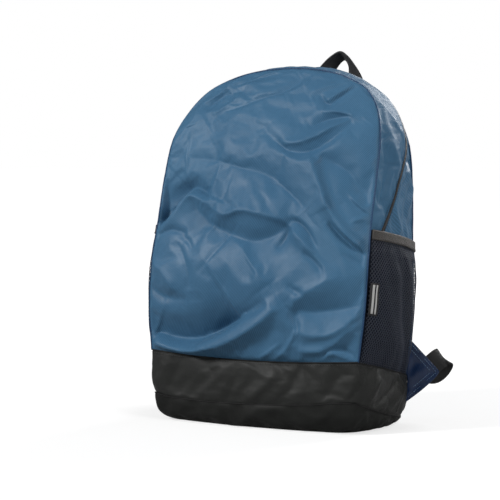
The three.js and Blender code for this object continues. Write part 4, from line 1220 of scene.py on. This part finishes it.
def make_binding(name, side):
    share = np.linspace(NET_EDGE, 1 - NET_EDGE, 81)[:, None]
    ring = np.array(BINDING_RING)
    v, lift = ring[None, :, 0], ring[None, :, 1]
    v, lift, share = np.broadcast_arrays(v, lift, share)
    row = NET_TOP_ROW + (POCKET_ROW - NET_TOP_ROW) * v
    wave = 0.35 * wobble(np.stack([share * 9.0, v * 0.6, 0 * v + side], -1), 1.0, 61)
    grid = net_point(row, share, side, lift + wave)
    piece = tubes(f"pocket_binding_{name}_tape", [grid])
    dress(piece, "binding", f"pocket_binding_{name}", slot="binding")
    row = np.full(len(share), NET_TOP_ROW + (POCKET_ROW - NET_TOP_ROW) * BINDING_STITCH)
    path = net_point(row, share[:, 0], side, 2.55)
    sewn = [(path, strip_out(side_t(row, side)))]
    stitches(f"pocket_binding_{name}_stitches", sewn, "dark_thread", 3.0, 2.2, 0.3)


# Zip
COIL_SECTION = np.array([
    (-1, -1), (-1, 0.1), (-0.8, 0.7), (-0.5, 1), (-0.2, 0.7), (0, 0.1),
    (0.2, 0.7), (0.5, 1), (0.8, 0.7), (1, 0.1), (1, -1),
])


def make_zip():
    t = np.linspace(MOUTH, FAR_MOUTH, 520)
    out = strip_out(t)
    shares = np.linspace(0, 1, 9)
    low, high = zip_front(t), zip_rear(t)
    share = low[:, None] + (high - low)[:, None] * shares[None, :]
    tape = grid_object("zip_band_tape", strip_point(t[:, None], share, 0.1))
    lay_weave(tape, grid_lengths(strip_point(t[:, None], share)))
    dress(tape, "zip_tape", "zip_band", slot="zip_tape")
    towards_rear = rear_seam(t) - front_seam(t)
    middle = strip_point(t, zip_share(t) - 1.9 / np.linalg.norm(towards_rear, axis=-1), 0.7)
    coil = band("zip_band_coil", middle, towards_rear, COIL_SECTION, 4.6, 1.5)
    dress(coil, "zip_coil", slot="zip_tape")
    edges, rows = [], []
    for place, inwards in ((low, -1), (high, 1)):
        path = strip_point(t, place, 0.35)
        path = path + 0.25 * wobble(path, 12.0, 71)[:, None] * out
        edges.append(swept_grid(path, towards_rear, ROUND, 1.9, 1.3))
        width = np.linalg.norm(towards_rear, axis=-1)
        line = strip_point(t, place + inwards * 2.4 / width, 0.45)
        rows.append((line, out))
    dress(tubes("zip_edges", edges), "blue_cloth", slot="blue_cloth")
    stitches("zip_stitches", rows, "blue_thread", 3.1, 2.2, 0.28)


SLIDER_LENGTH, SLIDER_WIDTH, SLIDER_HEIGHT = 13.0, 9.0, 5.0
PULL_LENGTH, PULL_WIDTH, PULL_THICKNESS = 30.0, 7.0, 1.6
SLIDER_STAND_OFF = 0.95


def make_slider():
    t = np.array(side_t(POCKET_ROW + 1.2, -1))
    lift = SLIDER_HEIGHT / 2 + SLIDER_STAND_OFF
    middle = strip_point(t, zip_share(t), lift)
    along = unit(strip_point(t + 0.01, zip_share(t + 0.01), lift) - middle)
    out = strip_out(t)
    across = unit(np.cross(out, along))
    out = np.cross(along, across)
    share = np.array([-0.5, -0.48, -0.42, -0.3, -0.1, 0.1, 0.3, 0.42, 0.48, 0.5])
    width = np.array([0.5, 0.62, 0.7, 0.75, 0.88, 1.0, 1.0, 0.95, 0.82, 0.6]) * SLIDER_WIDTH
    height = np.array([0.5, 0.8, 0.92, 0.95, 0.78, 0.78, 0.95, 0.92, 0.8, 0.5]) * (SLIDER_HEIGHT - 1.6)
    path = middle + along * share[:, None] * SLIDER_LENGTH - out * 0.8
    arch = np.linspace(0, np.pi, 15)
    bridge = middle + along * (-np.cos(arch) * 4.4)[:, None] + out * (np.sin(arch) * 1.9 + 0.4)[:, None]
    body = tubes("zip_slider_body", [
        swept_grid(path, across, SOFT_BOX, width, height),
        swept_grid(bridge, across, SOFT_BOX, 3.2, 0.9),
    ])
    dress(body, "slider_metal", "zip_slider", slot="slider_metal")
    start = middle + out * ((SLIDER_HEIGHT + PULL_THICKNESS) / 2 + 0.3) + along * SLIDER_LENGTH / 4
    share = np.linspace(0, 1, 30)
    sag = -0.5 * hump(share)
    path = start - along * (share * PULL_LENGTH)[:, None] + out * sag[:, None]
    width = np.interp(share, [0, 0.08, 0.3, 0.4, 0.5, 0.94, 1], [0.5, 0.6, 0.6, 0.7, 1, 1, 0.8]) * PULL_WIDTH
    pull = band("zip_pull_tab", path, across, WEBBING_SECTION, width, PULL_THICKNESS)
    dress(pull, "webbing", "zip_pull", slot="webbing")


# Label at the front seam, bare but for two plain stripes
LABEL_UP, LABEL_HEIGHT, LABEL_REACH = 138.0, 36.0, 12.0


def row_at_height(height):
    return np.interp(height, SEAM_ROWS[:, 0] * BODY_HEIGHT, np.arange(len(SEAM_ROWS)))


def label_grid(from_u, to_u, from_v, to_v, lift, rows=13, columns=7):
    v = np.linspace(from_v, to_v, rows)[:, None]
    u = np.linspace(from_u, to_u, columns)[None, :]
    row = row_at_height(LABEL_UP + v * LABEL_HEIGHT)
    curl = 0.5 * np.sin(v * np.pi * 2.0) * u**2
    v, u, row = np.broadcast_arrays(v, u, row)
    return net_point(row, NET_EDGE + u * LABEL_REACH / BODY_DEPTH, 1, 1.7 + lift + curl)


def make_label():
    label = subdivide(slab("side_label_cloth", label_grid(0, 1, 0, 1, 0.8), label_grid(0, 1, 0, 1, 0.0)))
    dress(label, "label_cloth", "side_label", slot="black_cloth")
    for name, low, high in (("near", 0.2, 0.42), ("far", 0.58, 0.74)):
        layers = [label_grid(low, high, 0.06, 0.94, lift) for lift in (0.92, 0.6)]
        stripe = slab(f"side_label_stripe_{name}", *layers)
        dress(stripe, "light_thread", slot="binding")


# Haul loop. Out is a share of half LOOP_SPAN, up of LOOP_RISE and back of LOOP_LEAN, and turn is the
# slope of the webbing's width, from 0 where it lies flat against the back to 1 at the loop's top.
LOOP_SPAN, LOOP_RISE, LOOP_LEAN, LOOP_SHIFT = 64.0, 38.0, 12.0, 9.0
LOOP_ROWS = np.array([
    (-0.95, -0.2, 0.0, 0.0), (-0.88, 0.05, 0.02, 0.04), (-0.58, 0.45, 0.35, 0.35), (-0.24, 0.85, 0.82, 0.78),
    (0.04, 1.0, 1.0, 1.0), (0.34, 0.84, 0.8, 0.75), (0.64, 0.46, 0.35, 0.35), (0.9, 0.05, 0.02, 0.04),
    (0.95, -0.2, 0.0, 0.0),
])
LOOP_TOP_SLOPE, LOOP_FOOT_SPLAY, SEWN_OFF = 0.65, 0.35, 0.7


def top_seam_at(x):
    line = rear_seam(np.linspace(0, 1, 401))
    away = np.abs(line[:, 0] - x) + np.where(line[:, 2] < BODY_HEIGHT / 2, BODY_WIDTH, 0)
    return line[away.argmin()]


def box_stitch(middle, across, up, wide, tall):
    """A sewn square with a cross in it."""
    a, b = np.asarray(across) * wide / 2, np.asarray(up) * tall / 2
    corner = [middle - a - b, middle + a - b, middle + a + b, middle - a + b]
    lines = [(corner[k], corner[(k + 1) % 4]) for k in range(4)]
    lines += [(corner[0], corner[2]), (corner[1], corner[3])]
    return [np.linspace(p, q, 12) for p, q in lines]


def make_haul_loop():
    off = WEBBING_THICKNESS / 2 + SEWN_OFF
    feet = [top_seam_at(side * LOOP_SPAN / 2 + LOOP_SHIFT) for side in (-1, 1)]
    out, up, back, turn = LOOP_ROWS.T
    foot = feet[0] + (feet[1] - feet[0]) * ((out + 1) / 2)[:, None]
    points = foot + np.stack([0 * out, off + back * LOOP_LEAN, up * LOOP_RISE], -1)
    slope = LOOP_FOOT_SPLAY + (LOOP_TOP_SLOPE - LOOP_FOOT_SPLAY) * turn
    across = np.stack([-np.sign(out) * (1 - turn), turn, -slope], -1)
    t = np.linspace(0, 1, 90)
    path, across = curve(points, t), curve(across, t)
    # The grip is folded lengthwise, so it is narrower and thicker there
    grip = smoothstep(np.minimum(t, 1 - t), 0.2, 0.42)
    loop = band("haul_loop_webbing", path, across, WEBBING_SECTION, LOOP_WEBBING * (1 - 0.12 * grip),
                WEBBING_THICKNESS * (1 + 0.9 * grip))
    dress(loop, "webbing", "haul_loop", slot="webbing")
    side, normal = side_and_normal(path, across)
    rows = []
    for k in (4, -5):
        facing = normal[k] if normal[k][1] > 0 else -normal[k]
        middle = path[k] + facing * (WEBBING_THICKNESS / 2 + 0.1)
        rows += [(line, facing) for line in box_stitch(middle, side[k], np.cross(facing, side[k]), 13, 9)]
    stitches("haul_loop_stitches", rows, "dark_thread", 2.6, 2.0, 0.35)


# Shoulder straps. Out is a share of half BODY_WIDTH, back of BODY_DEPTH and up of BODY_HEIGHT.
STRAP_ROWS = np.array([(0.34, 1.15, 0.84), (0.45, 1.12, 0.7), (0.54, 1.03, 0.56), (0.6, 0.93, 0.44)])
STRAP_WIDTH, STRAP_THICKNESS = 56.0, 6.0
STRAP_SLANT = (0.1, 0.12)
STRAP_OFF = STRAP_THICKNESS / 2 + NET_CLEARANCE
STRAP_SEAM_ROW, STRAP_DROP = 8.7, 13.0
STRAP_TABLE = np.array([
    (-1.0, 0.36), (-0.9, 0.6), (-0.72, 0.9), (-0.4, 1.0), (0.0, 1.0), (0.4, 1.0), (0.72, 0.9), (0.9, 0.6), (1.0, 0.36),
])


def strap_stations(side):
    t = side_t(STRAP_SEAM_ROW, side)
    top = rear_seam(np.array(t)) + np.array([0, STRAP_OFF, -STRAP_DROP])
    tangent = unit(rear_seam(np.array(t + 0.001)) - rear_seam(np.array(t - 0.001)))
    points = np.stack([side * STRAP_ROWS[:, 0] * BODY_WIDTH / 2, STRAP_ROWS[:, 1] * BODY_DEPTH + STRAP_OFF,
                       STRAP_ROWS[:, 2] * BODY_HEIGHT], -1)
    across = np.tile([1, side * STRAP_SLANT[0], side * STRAP_SLANT[1]], (len(points), 1))
    return np.concatenate([[top], points]), np.concatenate([[tangent], across])


def make_strap(name, side):
    points, across = strap_stations(side)
    t = np.linspace(0, 1, 110)
    path = curve(points, t)
    side_way, normal = side_and_normal(path, curve(across, t))
    outwards = np.sign(normal[len(t) // 2][1]) * normal
    u = np.linspace(-1, 1, 33)
    puff = np.interp(u, STRAP_TABLE[:, 0], STRAP_TABLE[:, 1])[None, :] * np.ones((len(t), 1))
    end = smoothstep(np.minimum(t, 1 - t), -0.02, 0.05)[:, None]
    puff = 0.34 + (puff - 0.34) * end
    sheet = path[:, None] + side_way[:, None] * u[None, :, None] * (STRAP_WIDTH - 2) / 2
    soft = 0.5 * wobble(sheet, 18.0, 81 + side) * (1 - u[None, :] ** 2)
    face = sheet + outwards[:, None] * (STRAP_THICKNESS / 2 * puff + soft)[..., None]
    under = sheet - outwards[:, None] * (STRAP_THICKNESS / 2 * puff * 0.95)[..., None]
    pad = slab(f"shoulder_strap_{name}_pad", face, under)
    dress(pad, "blue_cloth", f"shoulder_strap_{name}", slot="blue_cloth")
    edges = []
    for way in (-1, 1):
        rim = path + side_way * way * (STRAP_WIDTH / 2 - 2.6)
        edges.append(swept_grid(rim, side_way, SOFT_BOX, 7.0, 3.4))
    low = path[-1] + side_way[-1] * np.linspace(-1, 1, 40)[:, None] * (STRAP_WIDTH / 2 - 0.6)
    last = path[-1] - path[-2]
    edges.append(swept_grid(low - last, unit(last), SOFT_BOX, 7.0, 3.6))
    dress(tubes(f"shoulder_strap_{name}_binding", edges), "binding", slot="binding")
    rows = []
    for inset, height in ((-0.8, 0.78), (0.8, 0.78)):
        line = path + side_way * inset * (STRAP_WIDTH - 2) / 2 + outwards * (STRAP_THICKNESS / 2 * height + 0.15)
        rows.append((line, outwards))
    stitches(f"shoulder_strap_{name}_stitches", rows, "blue_thread", 3.2, 2.3, 0.3)


# Ladder locks
BUCKLE_WIDTH, BUCKLE_HEIGHT, BUCKLE_THICKNESS = 36.0, 26.0, 4.0


def buckle_middle(side):
    end = strap_stations(side)[0][-1]
    drop = STRAP_SLANT[1] * STRAP_WIDTH / 2 + BUCKLE_HEIGHT / 2 + 0.3
    return end - np.array([0, 0, drop])


def make_buckle(name, side):
    middle = buckle_middle(side)
    half_wide, half_tall = BUCKLE_WIDTH / 2, BUCKLE_HEIGHT / 2
    bars = []
    for x in (-half_wide + 2.5, half_wide - 2.5):
        path = middle + np.linspace((x, 0, -half_tall + 0.6), (x, 0, half_tall - 0.6), 12)
        bars.append(swept_grid(path, (1, 0, 0), SOFT_BOX, 5.0, BUCKLE_THICKNESS))
    for z, tall, bow in ((-half_tall + 2.2, 4.4, 0.6), (0.0, 3.6, 0.0), (half_tall - 2.2, 4.4, 0.0)):
        x = np.linspace(-half_wide + 0.8, half_wide - 0.8, 24)
        path = middle + np.stack([x, bow * np.cos(x / half_wide * np.pi / 2), 0 * x + z], -1)
        thick = BUCKLE_THICKNESS * (0.92 if z else 0.8)
        bars.append(swept_grid(path, (0, 0, 1), SOFT_BOX, tall, thick))
    lock = tubes(f"strap_buckle_{name}_frame", bars)
    dress(lock, "black_plastic", f"strap_buckle_{name}", slot="black_plastic")


# Wing tabs, sewn into the rear seam where it meets the base band
TAB_OUT = unit(np.array([0.87, 0.49, 0.0]))
TAB_NORMAL = np.array([-TAB_OUT[1], TAB_OUT[0], 0.0])
TAB_LOW, TAB_EDGE, TAB_REACH, TAB_THICKNESS = 22.0, 74.0, 41.0, 2.0
TAB_STAND_OFF, TAB_TIP, TAB_SINK = 1.0, 2.0, 5.0


def rear_edge_line(body):
    """The body's right rear edge from its foot up, pulled in a little where the band is rounded."""
    up = 1 - np.linspace(0, POCKET_ROW, 40)[1:] / ROW_COUNT
    corner = body["base_band"][::-1, -1]
    sunk = np.linspace(1, 0, len(corner))[:, None] * TAB_SINK
    return np.concatenate([corner - TAB_OUT * sunk, rear_seam(up)])


def tab_point(edge, up, out):
    up, out = np.broadcast_arrays(up, out)
    height = TAB_LOW + up * TAB_EDGE
    sewn = np.stack([np.interp(height, edge[:, 2], edge[:, k]) for k in range(2)] + [height], -1)
    return sewn + TAB_OUT * (TAB_STAND_OFF + out)[..., None]


def to_side(points, side):
    return points * np.array([side, 1.0, 1.0])


def tab_reach(up):
    return TAB_TIP + (TAB_REACH - TAB_TIP) * (1 - np.sqrt((2 * up - 1) ** 2 + 0.0009))


def make_wing_tab(name, side, edge):
    up = np.linspace(0, 1, 33)[:, None]
    share = np.linspace(0, 1, 15)[None, :]
    flat = tab_point(edge, up, share * tab_reach(up))
    crumple = 1.7 * wobble(flat * np.array([1, 1, 0.8]), 12.0, 91 + side)
    crumple = crumple * smoothstep(share, 0.0, 0.2) * (1 - 0.5 * share)
    puff = 0.75 + 0.25 * np.sqrt(np.clip(hump(share) * hump(up), 0, 1))
    layers = [
        to_side(flat + TAB_NORMAL * (crumple + way * TAB_THICKNESS / 2 * puff)[..., None], side)
        for way in (1, -1)
    ]
    tab = subdivide(slab(f"wing_tab_{name}_cloth", *layers))
    dress(tab, "deep_blue_cloth", f"wing_tab_{name}", slot="deep_blue_cloth")
    rows = []
    low, corner, high = (tab_point(edge, np.array(u), tab_reach(np.array(u))) for u in (0.0, 0.5, 1.0))
    for inset in (3.0, 7.5):
        for end, way in ((low, -1), (high, 1)):
            leg = unit(end - corner)
            inwards = unit(np.cross(TAB_NORMAL, leg)) * (-way)
            line = np.linspace(corner + leg * inset * 1.3, end - leg * 2.0, 30) + inwards * inset
            for face in (1, -1):
                wave = np.interp(line[:, 2], flat[:, 7, 2], crumple[:, 7])[:, None]
                on_face = line + TAB_NORMAL * (face * (TAB_THICKNESS / 2 + 0.15) + wave * 0.6)
                rows.append((to_side(on_face, side), to_side(TAB_NORMAL * face, side)))
    stitches(f"wing_tab_{name}_stitches", rows, "pale_blue_thread", 3.0, 2.2, 0.34)


# Webbing from each wing tab: out past the tab's upper edge, rolled over behind it, down to the floor
# behind the base and up through the ladder lock, with its end hanging from there
def strap_webbing_path(edge):
    corner = tab_point(edge, np.array(0.5), np.array(TAB_REACH))
    top = tab_point(edge, np.array(1.0), np.array(0.0))
    leg = unit(corner - top)
    start = corner + leg * (-STRAP_WEBBING / 2 - 1)
    ahead = unit(np.cross(leg, TAB_NORMAL))
    sewn = (TAB_THICKNESS + WEBBING_THICKNESS) / 2 + 0.3
    base = edge[0]
    buckle = buckle_middle(1)
    slot = buckle[2] - BUCKLE_HEIGHT / 5.5
    beside = (BUCKLE_THICKNESS + WEBBING_THICKNESS) / 2 + 0.6
    rolls = [(-14, 0, 0, leg), (0, 0, 0, leg), (9, 1.5, 1, leg), (14, 7, 4, leg), (10, 14, 10, leg),
             (-8, 18, 13, (0.5, 0.6, -0.6))]
    floor = [(3, 21, 52, (0.1, 0.97, -0.2)), (5, 22, 32, (-0.48, 0.87, 0)), (0, 21, 12, (-0.3, 0.95, 0)),
             (-12, 20, 3, (-0.1, 0.99, 0)), (-26, 21, 5, (-0.3, 0.95, 0)), (-36, 27, 20, (-0.8, 0.6, 0)),
             (-41, 37, 56, (-0.95, 0.3, 0))]
    lock = [(-beside, slot - 26), (-beside, slot - 2), (0, slot + 2), (beside, slot - 2), (beside + 1, slot - 30),
            (beside + 5, slot - 62)]
    points = [start + ahead * f + TAB_NORMAL * (b + sewn) + leg * d for f, b, d, _ in rolls]
    points += [np.array([base[0] + x, base[1] + y, z]) for x, y, z, _ in floor]
    points += [np.array([buckle[0], buckle[1] + y, z]) for y, z in lock]
    across = [np.asarray(a, float) for *_, a in rolls] + [np.asarray(a, float) for *_, a in floor]
    across += [np.array([-1.0, 0, 0])] * len(lock)
    return np.array(points), np.array(across)


def make_strap_webbing(name, side, edge):
    points, across = strap_webbing_path(edge)
    t = np.linspace(0, 1, 260)
    path = to_side(curve(points, t), side)
    ways = to_side(curve(across, t), side)
    webbing = band(f"strap_webbing_{name}_band", path, ways, WEBBING_SECTION, STRAP_WEBBING, WEBBING_THICKNESS)
    dress(webbing, "webbing", f"strap_webbing_{name}", slot="webbing")


def make_trim(body):
    make_seams(body)
    make_zip()
    make_slider()
    make_label()
    make_haul_loop()
    edge = rear_edge_line(body)
    for name, side in (("right", 1), ("left", -1)):
        make_net(name, side)
        make_binding(name, side)
        make_strap(name, side)
        make_buckle(name, side)
        make_wing_tab(name, side, edge)
        make_strap_webbing(name, side, edge)


# Camera, light and floor
def make_camera():
    data = bpy.data.cameras.new("camera")
    camera = bpy.data.objects.new("camera", data)
    bpy.context.scene.collection.objects.link(camera)
    back = Vector(camera_axes()[2])
    camera.location = (Vector(CAMERA_TARGET) + back * CAMERA_DISTANCE) * MM
    camera.rotation_mode = "QUATERNION"
    camera.rotation_quaternion = (-back).to_track_quat("-Z", "Y")
    data.sensor_width = 36.0
    data.lens = data.sensor_width * CAMERA_DISTANCE / (PICTURE_SIDE * MM_PER_PIXEL)
    data.shift_x = (PICTURE_SIDE / 2 - TARGET_PIXEL[0]) / PICTURE_SIDE
    data.shift_y = (TARGET_PIXEL[1] - PICTURE_SIDE / 2) / PICTURE_SIDE
    data.clip_end = 100.0
    bpy.context.scene.camera = camera


def make_light(name, place, target, size, power, color=(1.0, 1.0, 1.0)):
    data = bpy.data.lights.new(name, "AREA")
    data.shape = "RECTANGLE"
    data.size, data.size_y = size
    data.energy = power
    data.color = color
    light = bpy.data.objects.new(name, data)
    light.location = place
    light.rotation_mode = "QUATERNION"
    light.rotation_quaternion = (Vector(target) - Vector(place)).to_track_quat("-Z", "Y")
    bpy.context.scene.collection.objects.link(light)


def make_studio():
    make_light("key", (-2.1, -2.7, 2.4), (0, 0, 0.2), (0.8, 0.8), 140.0)
    make_light("fill", (2.5, -0.9, 1.5), (0, 0, 0.2), (1.2, 1.2), 40.0)
    make_light("top", (0.0, 0.3, 2.6), (0, 0, 0), (2.4, 2.4), 6.0)
    make_light("rear", (0.6, 2.6, 1.7), (0, 0, 0.2), (1.6, 1.2), 62.0)
    world = bpy.data.worlds.new("studio")
    world.use_nodes = True
    tree = world.node_tree
    background = tree.nodes["Background"]
    background.inputs["Color"].default_value = (1.0, 1.0, 1.0, 1.0)
    seen = tree.nodes.new("ShaderNodeLightPath").outputs["Is Camera Ray"]
    strength = tree.nodes.new("ShaderNodeMapRange")
    strength.inputs["To Min"].default_value = 0.04
    strength.inputs["To Max"].default_value = 1.0
    tree.links.new(seen, strength.inputs["Value"])
    tree.links.new(strength.outputs[0], background.inputs["Strength"])
    bpy.context.scene.world = world
    bpy.context.scene.view_settings.view_transform = "Standard"
    side = 30.0
    corners = [(-side, -side, 0), (side, -side, 0), (side, side, 0), (-side, side, 0)]
    floor = mesh_object("floor", np.array(corners) / MM, [(0, 1, 2, 3)], smooth=False)
    floor.data.materials.append(floor_material())


make_camera()
make_studio()
make_trim(make_body())
